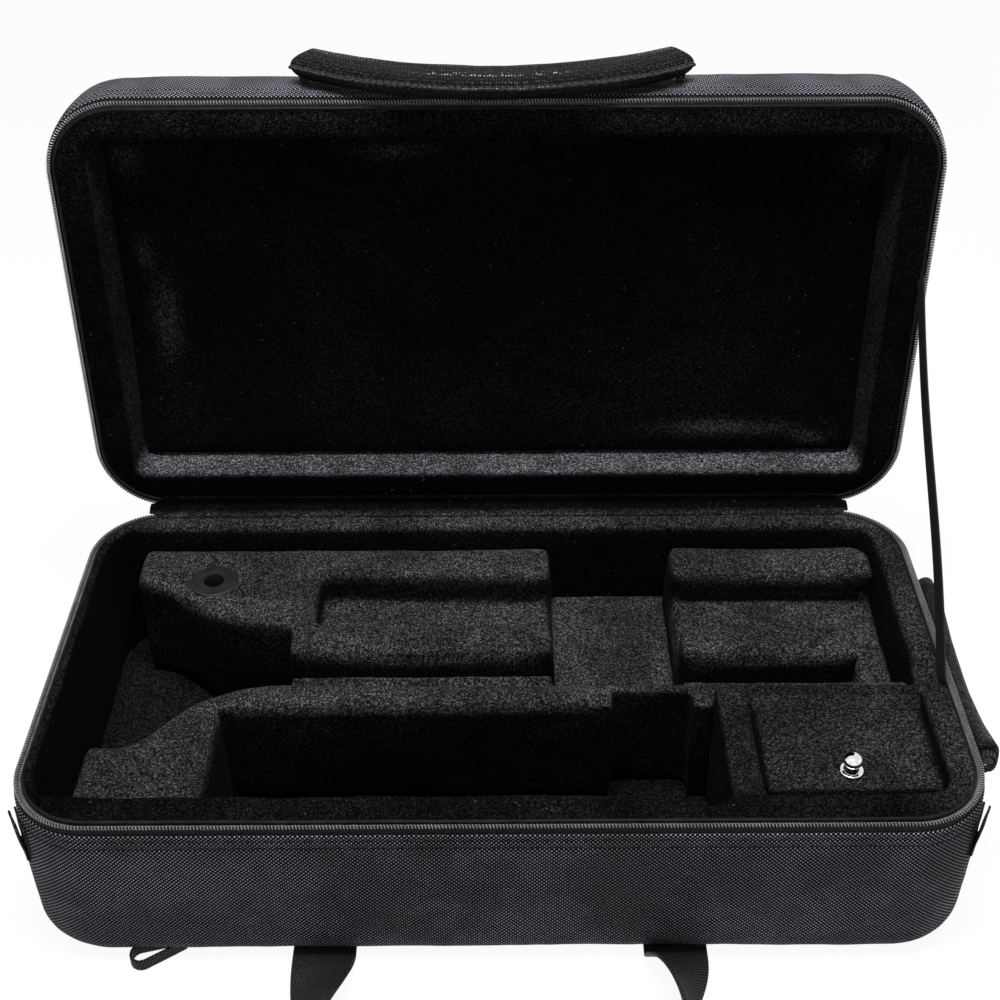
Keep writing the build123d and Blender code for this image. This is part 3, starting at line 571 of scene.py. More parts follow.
# %% Leather, plastic, thread and rubber
def leather_material(name, pebble, crease):
    """Imitation leather with its colour on the pebbles and in the creases."""
    material, tree, shader = start_material(name, 0.5, 0.1)
    place = tree.nodes.new("ShaderNodeTexCoord").outputs["Object"]
    grain = place_group(tree, pebbles, "Place", place)
    rubbed = place_group(tree, wear, "Place", place, Patch_Scale=45.0)
    colour = mix_colours(tree, grain.outputs["Crease"], pebble, crease)
    scuffed = math_node(tree, "MULTIPLY", rubbed.outputs["Scuffs"], 0.05)
    colour = mix_colours(tree, scuffed, colour, (0.05, 0.05, 0.05))
    tree.links.new(colour, shader.inputs["Base Color"])
    rough = math_node(tree, "ADD", spread_node(tree, grain.outputs["Height"], 0.0, 1.0, 0.55, 0.27),
                      math_node(tree, "MULTIPLY", rubbed.outputs["Patches"], 0.08))
    tree.links.new(rough, shader.inputs["Roughness"])
    shader.inputs["Coat Roughness"].default_value = 0.16
    tree.links.new(spread_node(tree, grain.outputs["Height"], 0.4, 1.0, 0.0, 0.8), shader.inputs["Coat Weight"])
    add_bump(tree, shader, grain.outputs["Height"], 1.0, 0.0005)
    return material


def plain_material(name, dark, light, roughness, specular, bump=0.0002, metallic=0.0, patch_scale=60.0, spread=0.12):
    """Plain plastic, metal, rubber or thread with soft wear."""
    material, tree, shader = start_material(name, roughness, specular, metallic=metallic)
    place = tree.nodes.new("ShaderNodeTexCoord").outputs["Object"]
    rubbed = place_group(tree, wear, "Place", place, Patch_Scale=patch_scale)
    tree.links.new(mix_colours(tree, rubbed.outputs["Patches"], dark, light), shader.inputs["Base Color"])
    rough = spread_node(tree, rubbed.outputs["Scuffs"], 0.0, 1.0, roughness, min(1.0, roughness + spread))
    tree.links.new(rough, shader.inputs["Roughness"])
    add_bump(tree, shader, rubbed.outputs["Scuffs"], 0.3, bump)
    return material


LEATHER = leather_material("imitation leather", (0.008, 0.008, 0.0088), (0.0006, 0.0006, 0.0008))
# The lip is a lighter copy of the leather: a painted sheen for its gloss.
LEATHER_PAINTED_SHEEN = leather_material("imitation leather with painted sheen", (0.035, 0.035, 0.038), (0.002, 0.002, 0.0024))
# The coil's light grey is a painted highlight for the glints on its turns.
COIL_PAINTED_GLINTS = plain_material("zip coil with painted glints", (0.22, 0.22, 0.225), (0.32, 0.32, 0.33), 0.2, 0.9, 0.00005, spread=0.1)
PIPING = plain_material("piping", (0.005, 0.005, 0.005), (0.014, 0.014, 0.0145), 0.5, 0.08, 0.0001)
THREAD = plain_material("sewing thread", (0.004, 0.004, 0.0045), (0.014, 0.014, 0.015), 0.5, 0.08, 0.0001)
RUBBER = plain_material("grommet rubber", (0.006, 0.0055, 0.005), (0.017, 0.015, 0.013), 0.5, 0.3)
CHROME = plain_material("polished chrome", (0.72, 0.72, 0.73), (0.80, 0.80, 0.81), 0.07, 0.5, 0.00004, 1.0, 90.0, 0.1)
BLACK_METAL = plain_material("black metal", (0.004, 0.004, 0.0045), (0.012, 0.012, 0.013), 0.3, 0.5, 0.00008)
FOAM = plain_material("grey foam", (0.10, 0.10, 0.105), (0.17, 0.17, 0.175), 0.95, 0.1, 0.0006, 0.0, 200.0)
BOARD = plain_material("stiff board", (0.22, 0.16, 0.10), (0.33, 0.25, 0.16), 0.85, 0.2, 0.0003, 0.0, 60.0)
print("all finishes:", len(bpy.data.materials))


def dress(piece, material):
    """Puts one material on a piece."""
    piece.data.materials.clear()
    piece.data.materials.append(material)
    return piece


def dress_node(name, material):
    """Puts a material on a node that keeps its CAD shape."""
    node = NODES[name]
    for slot in node.material_slots:
        slot.material = material
    smooth_faces(node.data)

# %% [markdown]
# ## The nylon covers
# Each half of the case wears a sewn cover: a wall all round, a rounded edge, and a flat face. A solid block would
# look moulded. So each cover is a thin sheet along the outline. Its profile starts in the folded hem at the zip,
# pulls in a little where the hem is stitched, bulges over the foam, rounds the edge and runs to the middle of the
# face. Slow noise then moves the cloth in and out, as it does over cut foam.

# %% Covers of the two halves
HEM_SEAM, TAPE_SEAM = 2.6, 8.2  # how far from the hem the two rows of stitches pull the cover in
BASE_EDGE, LID_EDGE = 16.0, 12.0


def cover_rows(hem, face, edge_radius, bulge, crown):
    """Rows of a cover from its hem to the middle of its face, in the closed position."""
    up = 1.0 if face > hem else -1.0
    reach = abs(face - hem)
    wall_end = reach - edge_radius
    profile = [(1.7, 0.6), (1.3, -0.5), (0.5, -0.9), (-0.25, -0.4), (-0.45, 0.6)]
    for depth in np.concatenate([np.linspace(1.6, 12.0, 9), np.linspace(15.0, wall_end, 18)]):
        swell = bulge * math.sin(math.pi * min(1.0, depth / (wall_end + edge_radius * 0.5)))
        tuck = 0.55 * math.exp(-((depth - HEM_SEAM) / 1.0) ** 2) + 0.45 * math.exp(-((depth - TAPE_SEAM) / 1.2) ** 2)
        profile.append((-0.45 - swell + tuck, depth))
    start = profile[-1][0]
    for angle in np.radians(np.linspace(9, 90, 10)):
        inset = start * (1 - math.sin(angle)) + edge_radius * (1 - math.cos(angle))
        profile.append((inset, wall_end + edge_radius * math.sin(angle)))
    rows = [ring_row(loop_places, loop_outward, inset, hem + up * depth) for inset, depth in profile]
    edge = rows[-1]
    middle = at_height(spine, face)
    for share in np.linspace(0.04, 1.0, 26):
        row = edge + (middle - edge) * share
        row[:, 2] += up * crown * math.sin(math.pi / 2 * min(1.0, share * 1.6))
        rows.append(row)
    return np.array(rows)


def lay_flat_uv(piece, closed_points):
    """Gives the faces on a cover's flat side a straight weave, from the closed position's X and Y."""
    layer = piece.data.uv_layers[0].data
    for polygon in piece.data.polygons:
        corners = [closed_points[index] for index in polygon.vertices]
        heights = [corner[2] for corner in corners]
        inside = abs(corners[0][0]) < WIDTH / 2 - 12 and abs(corners[0][1]) < DEPTH / 2 - 10
        if inside and max(heights) - min(heights) < 0.25:
            for loop, corner in zip(polygon.loop_indices, corners):
                layer[loop].uv = (corner[0], corner[1])


def make_cover(name, rows, swung, seed):
    """Nylon cover with its folds, which fade out towards the hem; nothing of it goes through the floor."""
    piece = sheet_mesh(name, swing(rows) if swung else rows, flip=swung)
    closed = rows.reshape(-1, 3)
    lay_flat_uv(piece, closed)
    away_from_hem = smooth_step(np.abs(closed[:, 2] - rows[0, 0, 2]), 2.0, 14.0)
    ruffle(piece, [(0.9, 85, seed), (0.5, 30, seed + 1), (0.18, 11, seed + 2)], away_from_hem)
    for vertex in piece.data.vertices:
        vertex.co.z = max(vertex.co.z, 0.0003)
    return thicken(dress(piece, NYLON), 1.0)


BASE_HEM, LID_HEM = RIM - HEM_DROP, LID_PLANE + HEM_DROP
base_cover = make_cover("base_cover", cover_rows(BASE_HEM, 0.0, BASE_EDGE, 1.3, 0.0), False, 3)
settle(base_cover, "base", "nylon", "base_side_skin", "base_bottom_skin")
lid_cover = make_cover("lid_cover", cover_rows(LID_HEM, LID_TOP, LID_EDGE, 1.0, 1.6), True, 8)
settle(lid_cover, "lid", "nylon", "lid_skin")
print("cover faces:", len(base_cover.data.polygons), len(lid_cover.data.polygons))

# %% [markdown]
# ## Stitches
# A seam reads as a row of separate short threads with small gaps, not as a line. One stitch is a little spindle,
# and numpy places a copy at each step along the seam, turned to its direction. All stitches of a seam are one
# mesh, so the scene stays light.

# %% Rows of stitches
STITCH_LENGTH, STITCH_WIDTH, STITCH_HEIGHT, STITCH_SIDES = 2.3, 0.75, 0.7, 6


def stitch_shape():
    """Spindle that stands for one stitch: along, outwards and across."""
    points = [(-STITCH_LENGTH / 2, -STITCH_HEIGHT * 0.3, 0)]
    for along_share in (-0.28, 0.28):
        for corner in range(STITCH_SIDES):
            angle = math.pi / 3 * corner
            out, side = STITCH_HEIGHT * 0.5 * math.sin(angle), STITCH_WIDTH / 2 * math.cos(angle)
            points.append((along_share * STITCH_LENGTH, out, side))
    points.append((STITCH_LENGTH / 2, -STITCH_HEIGHT * 0.3, 0))
    faces, near, far, tip = [], 1, 1 + STITCH_SIDES, 1 + 2 * STITCH_SIDES
    for corner in range(STITCH_SIDES):
        after = (corner + 1) % STITCH_SIDES
        faces.append((0, near + after, near + corner))
        faces.append((near + corner, near + after, far + after, far + corner))
        faces.append((tip, far + corner, far + after))
    return np.array(points), faces


def sew(name, points, outward, closed=False, pitch=3.3):
    """Stitches along a line of points on a surface, with the surface's outward directions."""
    if closed:
        points, outward = np.vstack([points, points[:1]]), np.vstack([outward, outward[:1]])
    run = run_length(points)
    count = int(run[-1] // pitch)
    places = (np.arange(count) + 0.5) * run[-1] / count
    centre = look_up(places, run, points)
    ahead = unit(look_up(places + 0.4, run, points) - look_up(places - 0.4, run, points))
    out = look_up(places, run, outward)
    out = unit(out - ahead * (out * ahead).sum(axis=1)[:, None])
    side = np.cross(ahead, out)
    shape, shape_faces = stitch_shape()
    vertices = (centre[:, None] + shape[None, :, :1] * ahead[:, None] + shape[None, :, 1:2] * out[:, None]
                + shape[None, :, 2:] * side[:, None])
    faces = [tuple(len(shape) * n + corner for corner in face) for n in range(count) for face in shape_faces]
    return dress(add_object(name, vertices.reshape(-1, 3), faces), THREAD)


def edge_line(places, outward, inset, height, swung):
    """Line along the outline with its outward directions, taken to where it is when the lid is open."""
    points = ring_row(places, outward, inset, height)
    directions = at_height(outward, 0.0)
    if swung:
        directions = swing(points + directions) - swing(points)
        points = swing(points)
    return points, directions


seams = []
for body, swung, kind, inset, height in (
    ("base", False, "hem", -0.05, BASE_HEM - HEM_SEAM), ("base", False, "tape", -0.55, BASE_HEM - TAPE_SEAM),
    ("lid", True, "hem", -0.05, LID_HEM + HEM_SEAM), ("lid", True, "tape", -0.45, LID_HEM + TAPE_SEAM),
):
    seam = sew(f"{body}_{kind}_seam", *edge_line(loop_places, loop_outward, inset, height, swung), closed=True)
    seams.append(settle(seam, body, "nylon"))
print("stitches:", sum(len(seam.data.vertices) for seam in seams) // len(stitch_shape()[0]))

# %% [markdown]
# ## The zip
# Each half of the zip is a woven tape with a plastic coil sewn to its edge. The coil is one thread wound in a
# narrow helix, and its turns are the teeth. A smooth cord would miss the glinting dots that show in every turn,
# so the helix is made in full: a line that circles a centre line, with a small tube built round it.

# %% Zip tapes and coils
COIL_REACH, COIL_HEIGHT, COIL_PITCH, COIL_WIRE, COIL_STEPS = 1.05, 0.80, 1.75, 0.36, 8
CORE_SHARE = 0.62  # the core's size, as a share of the coil's


def zip_tape(body, low, high, swung):
    """Tape of one zip half, from its hidden edge to the coil."""
    up, middle = (-1.0 if swung else 1.0), low + 0.45 * (high - low)
    profile = [(1.5, low), (1.35, middle), (1.25, high - up * 0.4), (1.5, high), (2.0, high - up * 0.2),
               (2.1, middle), (2.1, low)]
    rows = np.array([ring_row(zip_places, zip_outward, inset, height) for inset, height in profile])
    tape = sheet_mesh(f"{body}_tape", swing(rows) if swung else rows, closed=False, flip=not swung)
    return settle(dress(tape, ZIP_TAPE), body, "zip_tape", f"{body}_zip_tape")


def helix_tube(name, centre, outward, rise):
    """Wire wound in a narrow helix about a centre line, with a core of thread inside it."""
    run = run_length(centre)
    turns = int(run[-1] / COIL_PITCH)
    steps = np.linspace(0, run[-1], turns * COIL_STEPS)
    middle = look_up(steps, run, centre)
    out = unit(look_up(steps, run, outward))
    angle = steps / run[-1] * turns * 2 * math.pi
    radial = out * np.cos(angle)[:, None] + rise * np.sin(angle)[:, None]
    line = middle + out * (COIL_REACH * np.cos(angle))[:, None] + rise * (COIL_HEIGHT * np.sin(angle))[:, None]
    ahead = unit(np.gradient(line, axis=0))
    second = unit(np.cross(ahead, radial))
    first = np.cross(second, ahead)
    rows = np.array([line + COIL_WIRE * (first * math.cos(a) + second * math.sin(a))
                     for a in np.linspace(0, 2 * math.pi, 5, endpoint=False)])
    tube = dress(sheet_mesh(name, np.concatenate([rows, rows[:1]]), closed=False), COIL_PAINTED_GLINTS)
    core_out, core_up = CORE_SHARE * COIL_REACH, CORE_SHARE * COIL_HEIGHT
    core_rows = [middle + out * (core_out * math.cos(a)) + rise * (core_up * math.sin(a))
                 for a in np.linspace(0, 2 * math.pi, 7)]
    core = dress(sheet_mesh(name + "_core", np.array(core_rows)[:, ::4], closed=False, flip=True), THREAD)
    return join_pieces(name, [tube, core])


def zip_coil(body, height, swung):
    """Coil of one zip half, which the lid's half turns with the lid."""
    rise = np.array([0.0, 0.0, 1.0])
    if swung:
        rise = swing(rise) - swing(np.zeros(3))
    coil = helix_tube(f"{body}_coil", *edge_line(zip_places, zip_outward, 1.75, height, swung), rise)
    return settle(coil, body, "zip_coil", f"{body}_zip_coil")


base_tape = zip_tape("base", BASE_HEM - 6.0, RIM - 1.9, False)
lid_tape = zip_tape("lid", LID_HEM + 6.0, LID_PLANE + 1.9, True)
base_coil = zip_coil("base", RIM - 1.15, False)
lid_coil = zip_coil("lid", LID_PLANE + 1.15, True)
print("coil faces:", len(base_coil.data.polygons), len(lid_coil.data.polygons))

# %% [markdown]
# ## Piping
# A thin cord covered in dark tape edges the plush just inside the zip. It is a round tube along the outline,
# and it wanders a little, because it is sewn by hand along a soft edge.

# %% Piping of both halves
PIPING_INSET, PIPING_RADIUS = 5.2, 0.95


def make_piping(body, height, seed, swung):
    """Round cord along the outline that wanders a little in and out, and up and down with it."""
    wander = 0.3 * lump_values(ring_row(loop_places, loop_outward, 0, 0), 55, seed)
    rows = []
    for angle in np.linspace(0, 2 * math.pi, 9):
        inset = PIPING_INSET + wander - PIPING_RADIUS * math.cos(angle)
        rows.append(ring_row(loop_places, loop_outward, inset, height + wander + PIPING_RADIUS * math.sin(angle)))
    rows = np.array(rows)
    piece = sheet_mesh(f"{body}_piping_cord", swing(rows) if swung else rows, flip=True)
    return settle(dress(piece, PIPING), body, "piping", f"{body}_piping")


base_cord = make_piping("base", RIM - 1.0, 21, False)
lid_cord = make_piping("lid", LID_PLANE + 1.0, 22, True)
print("piping faces:", len(base_cord.data.polygons))

# %% [markdown]
# ## The plush lining of the base
# The plush is glued over the foam walls. It starts under the piping, lies over the broad rim, rolls over the
# cavity's edge and runs down to the floor. The cavity is not the same shape as the case: it is deeper at the
# front and has a round finger scoop. So each point of the outline looks inwards for the cavity's wall, with a
# distance function that says how far the nearest wall is, and the lining is laid between the two.

# %% Find the cavity's wall
def rounded_distance(x, y, centre_x, centre_y, half_x, half_y, corner):
    """Distance to a rounded rectangle, negative inside it."""
    side_x = np.abs(x - centre_x) - (half_x - corner)
    side_y = np.abs(y - centre_y) - (half_y - corner)
    outside = np.hypot(np.maximum(side_x, 0), np.maximum(side_y, 0))
    return outside + np.minimum(np.maximum(side_x, side_y), 0) - corner


SCOOP_X, SCOOP_Y, SCOOP_RADIUS = 102.5, -83.0, 38.0


def cavity_distance(x, y):
    """Distance to the cavity: a block with rounded corners inside the shell, and a round finger scoop."""
    block = rounded_distance(x, y, -10.0, 3.0, 250.0, 116.0, 13.0)
    shell = rounded_distance(
        x, y, 0.0, 0.0, WIDTH / 2 - CAVITY_EDGE, DEPTH / 2 - CAVITY_EDGE, PLAN_CORNER - CAVITY_EDGE)
    scoop = np.hypot(x - SCOOP_X, y - SCOOP_Y) - SCOOP_RADIUS
    return np.minimum(np.maximum(block, shell), scoop)


WALK_STEPS, WALK_SHARE = 60, 0.9  # each step goes this share of the distance that is left


def walk_in(inset, distance_at):
    """Walks the outline's points towards the spine until a distance function is zero: start, direction, way gone."""
    start = ring_row(loop_places, loop_outward, inset, 0.0)[:, :2]
    inward = unit(spine - start)
    gone = np.zeros(LOOP_STEPS)
    for _ in range(WALK_STEPS):
        here = start + inward * gone[:, None]
        gone += np.maximum(distance_at(here[:, 0], here[:, 1]), 0) * WALK_SHARE
    return start, inward, gone


rim_outer, inward, travel = walk_in(LINING_INSET, cavity_distance)
rim_inner = rim_outer + inward * travel[:, None]
print("plush rim is", round(float(travel.min()), 1), "to", round(float(travel.max()), 1), "mm wide")

# %% Lining of the base
DIP_DEPTH, DIP_Y, DIP_WIDTH = 7.5, -21.0, 13.0  # the low place in the right rim


def base_lining_rows():
    """Rows of the base's plush from the piping over the rim and down to the floor."""
    roll = np.minimum(5.0, travel * 0.6)
    rows = [at_height(rim_outer, RIM - 2.2), at_height(rim_outer + inward * 0.1, RIM - 0.6)]
    dip = DIP_DEPTH * np.exp(-((rim_inner[:, 1] - DIP_Y) / DIP_WIDTH) ** 4) * (rim_inner[:, 0] > 200)
    for share in np.linspace(0.06, 1.0, 9):
        crown = 0.6 * math.sin(math.pi * min(1.0, share * 0.62))
        place = rim_outer + inward * ((travel - roll) * share)[:, None]
        rows.append(at_height(place, RIM + crown - RIM_SINK - dip * share ** 1.4 * (travel > 8)))
    for angle in np.radians(np.linspace(15, 90, 6)):
        place = rim_inner - inward * (roll * (1 - math.sin(angle)))[:, None]
        rows.append(at_height(place, RIM - 0.19 - dip - roll * (1 - math.cos(angle))))
    top = rows[-1][:, 2]
    for share in np.linspace(0.06, 1.0, 16):
        rows.append(at_height(rim_inner, top + (FLOOR - 0.5 - top) * share))
    return np.array(rows)


def row_share(rows, low, high):
    """Smooth step over the rows of a sheet, one value for each of its points."""
    return smooth_step(np.repeat(np.arange(len(rows)), LOOP_STEPS).astype(float), low, high)


lining_rows = base_lining_rows()
base_lining = sheet_mesh("base_lining", lining_rows)
ruffle(base_lining, [(0.7, 34, 31), (0.35, 13, 32), (0.16, 5, 33)], row_share(lining_rows, 1, 5))
dress(base_lining, PLUSH)
# Painted light on the base's plush: the rim is painted darker at the front and left and lighter at the back and right,
# and painted shade darkens the walls further down.
rim_painted_light = 0.30 + 0.22 * loop_outward[:, 1] + 0.14 * loop_outward[:, 0]
wall_painted_shade = 1 - 0.6 * smooth_step(np.arange(len(lining_rows)), 14, 20)
set_painted_light(base_lining, np.outer(wall_painted_shade, rim_painted_light).ravel())
settle(base_lining, "base", "plush", "base_rim_lining", "front_padding", "back_padding", "right_padding")
print("lining faces:", len(base_lining.data.polygons))

# %% [markdown]
# ## Foam blocks under plush
# The blocks start as a copy of the CAD solid, which has the right cut-outs but hard edges. Voxel remeshing gives
# each an even net of faces, a few smoothing passes round the edges as pulled plush does, and a short cloth
# simulation under a little pressure lets the cover swell and settle between the corners. How far a point may
# move is capped, so no block grows into its neighbour. Small lumps come last.

# %% Soft copies of solids
PUFF_FRAMES = 16


def puff(piece, pressure, cap):
    """Lets a closed cover swell by cloth simulation; cap is in millimetres."""
    start = read_points(piece.data)
    cloth = piece.modifiers.new("cover", "CLOTH")
    for label, value in (("quality", 4), ("mass", 0.2), ("tension_stiffness", 20), ("compression_stiffness", 20),
                         ("bending_stiffness", 0.8), ("use_pressure", True), ("uniform_pressure_force", pressure)):
        setattr(cloth.settings, label, value)
    cloth.settings.effector_weights.gravity = 0.0
    cloth.collision_settings.use_collision = False
    cloth.point_cache.frame_start = 1
    cloth.point_cache.frame_end = PUFF_FRAMES
    scene = bpy.context.scene
    for step in range(1, PUFF_FRAMES + 1):
        scene.frame_set(step)
    graph = bpy.context.evaluated_depsgraph_get()
    swollen = read_points(piece.evaluated_get(graph).data)
    piece.modifiers.clear()
    scene.frame_set(1)
    move = swollen - start
    distance = np.linalg.norm(move, axis=1)
    limit = np.minimum(1.0, cap * MM / np.maximum(distance, 1e-9))
    piece.data.vertices.foreach_set("co", (start + move * limit[:, None]).ravel())
    piece.data.update()
    return piece


def rounded_solid(name, node, voxel, passes):
    """Copy of a CAD solid with an even net of faces and smoothed edges."""
    piece = link(name, NODES[node].data.copy())
    weld(piece, 0.00001)
    remesh = piece.modifiers.new("voxels", "REMESH")
    remesh.mode = "VOXEL"
    remesh.voxel_size = voxel * MM
    remesh.use_smooth_shade = True
    rounding = piece.modifiers.new("rounding", "SMOOTH")
    rounding.factor = 0.5
    rounding.iterations = passes
    return bake_modifiers(piece)


def soft_block(name, node, body, voxel, passes, lumps, pressure=0.0, cap=1.0, painted_light=0.6):
    """Plush piece that stands for a foam solid: remeshed, rounded, swollen and lumpy."""
    piece = rounded_solid(name, node, voxel, passes)
    puff(piece, pressure, cap)
    ruffle(piece, lumps)
    # Each block gets a level of painted light on its plush.
    set_painted_light(dress(piece, PLUSH), painted_light)
    smooth_faces(piece.data)
    settle(piece, body, "plush", node)
    print(name, len(piece.data.polygons), "faces")
    return piece


BLOCK_LUMPS = [(0.7, 42, 41), (0.35, 15, 42), (0.12, 6, 43)]
BOX_LUMPS = [(0.6, 26, 51), (0.4, 11, 52)]
LID_LUMPS = [(0.4, 30, 54), (0.12, 8, 55)]
soft_block("plush_block_rear_left", "rear_left_block", "base", 2.6, 9, BLOCK_LUMPS, 3.0, 1.2)
soft_block("plush_block_rear_right", "rear_right_block", "base", 2.6, 9, BLOCK_LUMPS, 3.0, 1.2)
soft_block("plush_ridge", "front_ridge_block", "base", 2.2, 7, BLOCK_LUMPS, 3.0, 1.2)
soft_block("plush_trench_floor", "trench_floor_block", "base", 2.6, 7, BLOCK_LUMPS)
# The accessory box gets less painted light than the other blocks.
soft_block("plush_accessory_box", "accessory_box", "base", 1.9, 6, BOX_LUMPS, painted_light=0.26)
store_lid = soft_block("plush_accessory_lid", "accessory_lid", "accessory_lid", 1.2, 5, LID_LUMPS)
# Painted shade along the edges of the accessory lid, with painted light in its middle.
lid_x, lid_y, _ = (read_points(store_lid.data) * 1000).T
STORE_LEFT, STORE_RIGHT, STORE_FRONT, STORE_BACK = 141.0, 238.0, -111.4, -42.0
from_edge = np.minimum.reduce([lid_x - STORE_LEFT, STORE_RIGHT - lid_x, lid_y - STORE_FRONT, STORE_BACK - lid_y])
set_painted_light(store_lid, 0.05 + 0.33 * smooth_step(from_edge, 1.5, 5.0))

# %% Plush floor
def floor_rows():
    """Rows of the plush floor, from its edge to the spine."""
    edge = ring_row(loop_places, loop_outward, 9.0, FLOOR)
    middle = at_height(spine, FLOOR)
    return np.array([edge + (middle - edge) * share for share in np.linspace(0.0, 1.0, 34)])


# The floor is the plush painted darker, as shade deep in the case.
plush_floor = sheet_mesh("plush_floor", floor_rows())
ruffle(plush_floor, [(0.5, 60, 61), (0.25, 18, 62)])
set_painted_light(dress(plush_floor, PLUSH_IN_PAINTED_SHADE))
settle(plush_floor, "base", "plush", "floor_pad")
print("floor faces:", len(plush_floor.data.polygons))

# %% [markdown]
# ## The lid's lining
# The lid has a broad plush band round its rim, sloping sides and a padded panel. The band and the sides are one
# piece of plush, laid in rows as in the base. The panel is a cushion that rises steeply from its edge, most of
# all next to the hinge, and has folds that run out of its corners.

# %% Band and sides of the lid
LID_BAND, RECESS, DRAFT, RECESS_CORNER = 23.5, 30.0, 5.0, 8.0


def recess_ring(inset, height):
    """Loop of points on the rounded rectangle of the lid's recess, matched to the outline's points."""
    half_x, half_y = WIDTH / 2 - inset, DEPTH / 2 - inset
    start, toward, gone = walk_in(2.0, lambda x, y: rounded_distance(x, y, 0, 0, half_x, half_y, RECESS_CORNER))
    return at_height(start + toward * gone[:, None], height)


def lid_lining_rows():
    """Rows of the lid's plush from the piping over the band and up the sloping sides."""
    outer = ring_row(loop_places, loop_outward, LINING_INSET, LID_PLANE + 2.2)
    rows = [outer, outer + [0, 0, -1.5]]
    mouth = recess_ring(LID_BAND, LID_PLANE)
    start = outer + [0, 0, -1.9]
    lip = outer + (mouth - outer) * [[0.82, 0.82, 0]]
    for share in np.linspace(0.08, 1.0, 7):
        row = start + (lip - start) * share
        row[:, 2] = LID_PLANE + RIM_SINK - 0.6 * math.sin(math.pi * share * 0.62)
        rows.append(row)
    roll_start = rows[-1]
    for angle in np.radians(np.linspace(18, 90, 5)):
        row = roll_start + (mouth - roll_start) * math.sin(angle)
        row[:, 2] = roll_start[0, 2] + 3.4 * (1 - math.cos(angle))
        rows.append(row)
    foot = recess_ring(LID_BAND + DRAFT, LID_PLANE + RECESS + 1.5)
    wall_start = rows[-1]
    for share in np.linspace(0.07, 1.0, 14):
        rows.append(wall_start + (foot - wall_start) * share)
    return np.array(rows)


lid_rows = lid_lining_rows()
lid_lining = sheet_mesh("lid_lining", swing(lid_rows), flip=True)
ruffle(lid_lining, [(0.8, 46, 71), (0.45, 17, 72), (0.2, 7, 73)], row_share(lid_rows, 1, 6))
# Painted light on the lid's plush: the band is painted darkest next to the hinge and lightest at the far edge, and the
# sloping sides get a strong painted sheen.
on_side = smooth_step(np.arange(len(lid_rows)), 10, 15)[:, None]
band_painted_light = 0.23 - 0.19 * loop_outward[:, 1]
set_painted_light(dress(lid_lining, PLUSH), (band_painted_light + (1.2 - band_painted_light) * on_side).ravel())
settle(lid_lining, "lid", "plush", "lid_rim_lining")
print("lid lining faces:", len(lid_lining.data.polygons))

# %% Foam pad behind the lining
def lid_pad_rows():
    """Rows round the foam from the mouth of the recess, out, along the top and back down the slope."""
    low, high = LID_PLANE + 3.4, LID_TOP - 5.2
    mouth, slope_top = recess_ring(LID_BAND - 4.0, low), LID_PLANE + RECESS + 3.0
    return np.array([
        mouth,
        ring_row(loop_places, loop_outward, 3.4, low),
        ring_row(loop_places, loop_outward, 3.4, LID_TOP - 14.0),
        ring_row(loop_places, loop_outward, 13.0, high),
        at_height(spine, high),
        at_height(spine, slope_top),
        recess_ring(LID_BAND + DRAFT - 1.0, slope_top),
        recess_ring(LID_BAND - 1.6, LID_PLANE + 5.5),
        mouth,
    ])


lid_pad = dress(sheet_mesh("lid_pad", swing(lid_pad_rows())), FOAM)
weld(lid_pad, 0.00005)
bake_modifiers(lid_pad)
settle(lid_pad, "lid", "foam", "lid_foam")
print("lid pad faces:", len(lid_pad.data.polygons))

# %% Padded panel of the lid
# Swollen places near the panel's edge, which get a painted sheen: x, y, width, height, brightness of the painted sheen.
SWELLS = [(-207.0, 14.0, 9.0, 30.0, 3.0), (-216.0, -30.0, 6.0, 12.0, 1.6), (150.0, 92.0, 45.0, 6.0, 3.4),
          (-62.0, -97.0, 26.0, 5.0, 2.0), (205.0, 99.0, 16.0, 5.0, 2.2), (-219.0, -92.0, 10.0, 12.0, 1.8),
          (219.0, -92.0, 10.0, 12.0, 1.8)]


def panel_cushion():
    """Cushion of the lid's panel, made closed and then swung open."""
    half_x, half_y = WIDTH / 2 - LID_BAND - DRAFT + 2.0, DEPTH / 2 - LID_BAND - DRAFT + 2.0
    edge = np.array([0, 0.5, 1.2, 2.2, 3.6, 5.4])
    across = np.concatenate([edge - half_x, np.linspace(8 - half_x, half_x - 8, 118), (half_x - edge)[::-1]])
    deep = np.concatenate([edge - half_y, np.linspace(8 - half_y, half_y - 8, 56), (half_y - edge)[::-1]])
    x, y = np.meshgrid(across, deep)
    from_x, from_y = half_x - np.abs(x), half_y - np.abs(y)
    swell = (1 - (np.abs(x) / half_x) ** 6) * (1 - (np.abs(y) / half_y) ** 5)
    rise = 1 - np.exp(-np.minimum(from_x, from_y) / 1.4)
    near_hinge = smooth_step(y, 20.0, half_y)
    z = LID_PLANE + RECESS + 0.9 - 2.4 * np.clip(swell, 0, 1) ** 0.7 - (3.0 + 7.5 * near_hinge) * rise
    for at_x, at_y, wide, high, _ in SWELLS:
        z -= 2.2 * rise * np.exp(-((x - at_x) / wide) ** 2 - ((y - at_y) / high) ** 2)
    out = np.hypot(from_x, from_y)
    folds = np.sin(np.arctan2(from_y, from_x) * 13 + out * 0.03)
    z += 0.9 * folds * np.exp(-(out / 46.0) ** 2) * smooth_step(np.minimum(from_x, from_y), 0, 10)
    return np.stack([x, y, z], axis=2)


panel_points = panel_cushion()
panel = sheet_mesh("lid_panel_cushion", swing(panel_points), closed=False, flip=True)
ruffle(panel, [(0.8, 70, 81), (0.4, 24, 82), (0.12, 9, 83)])
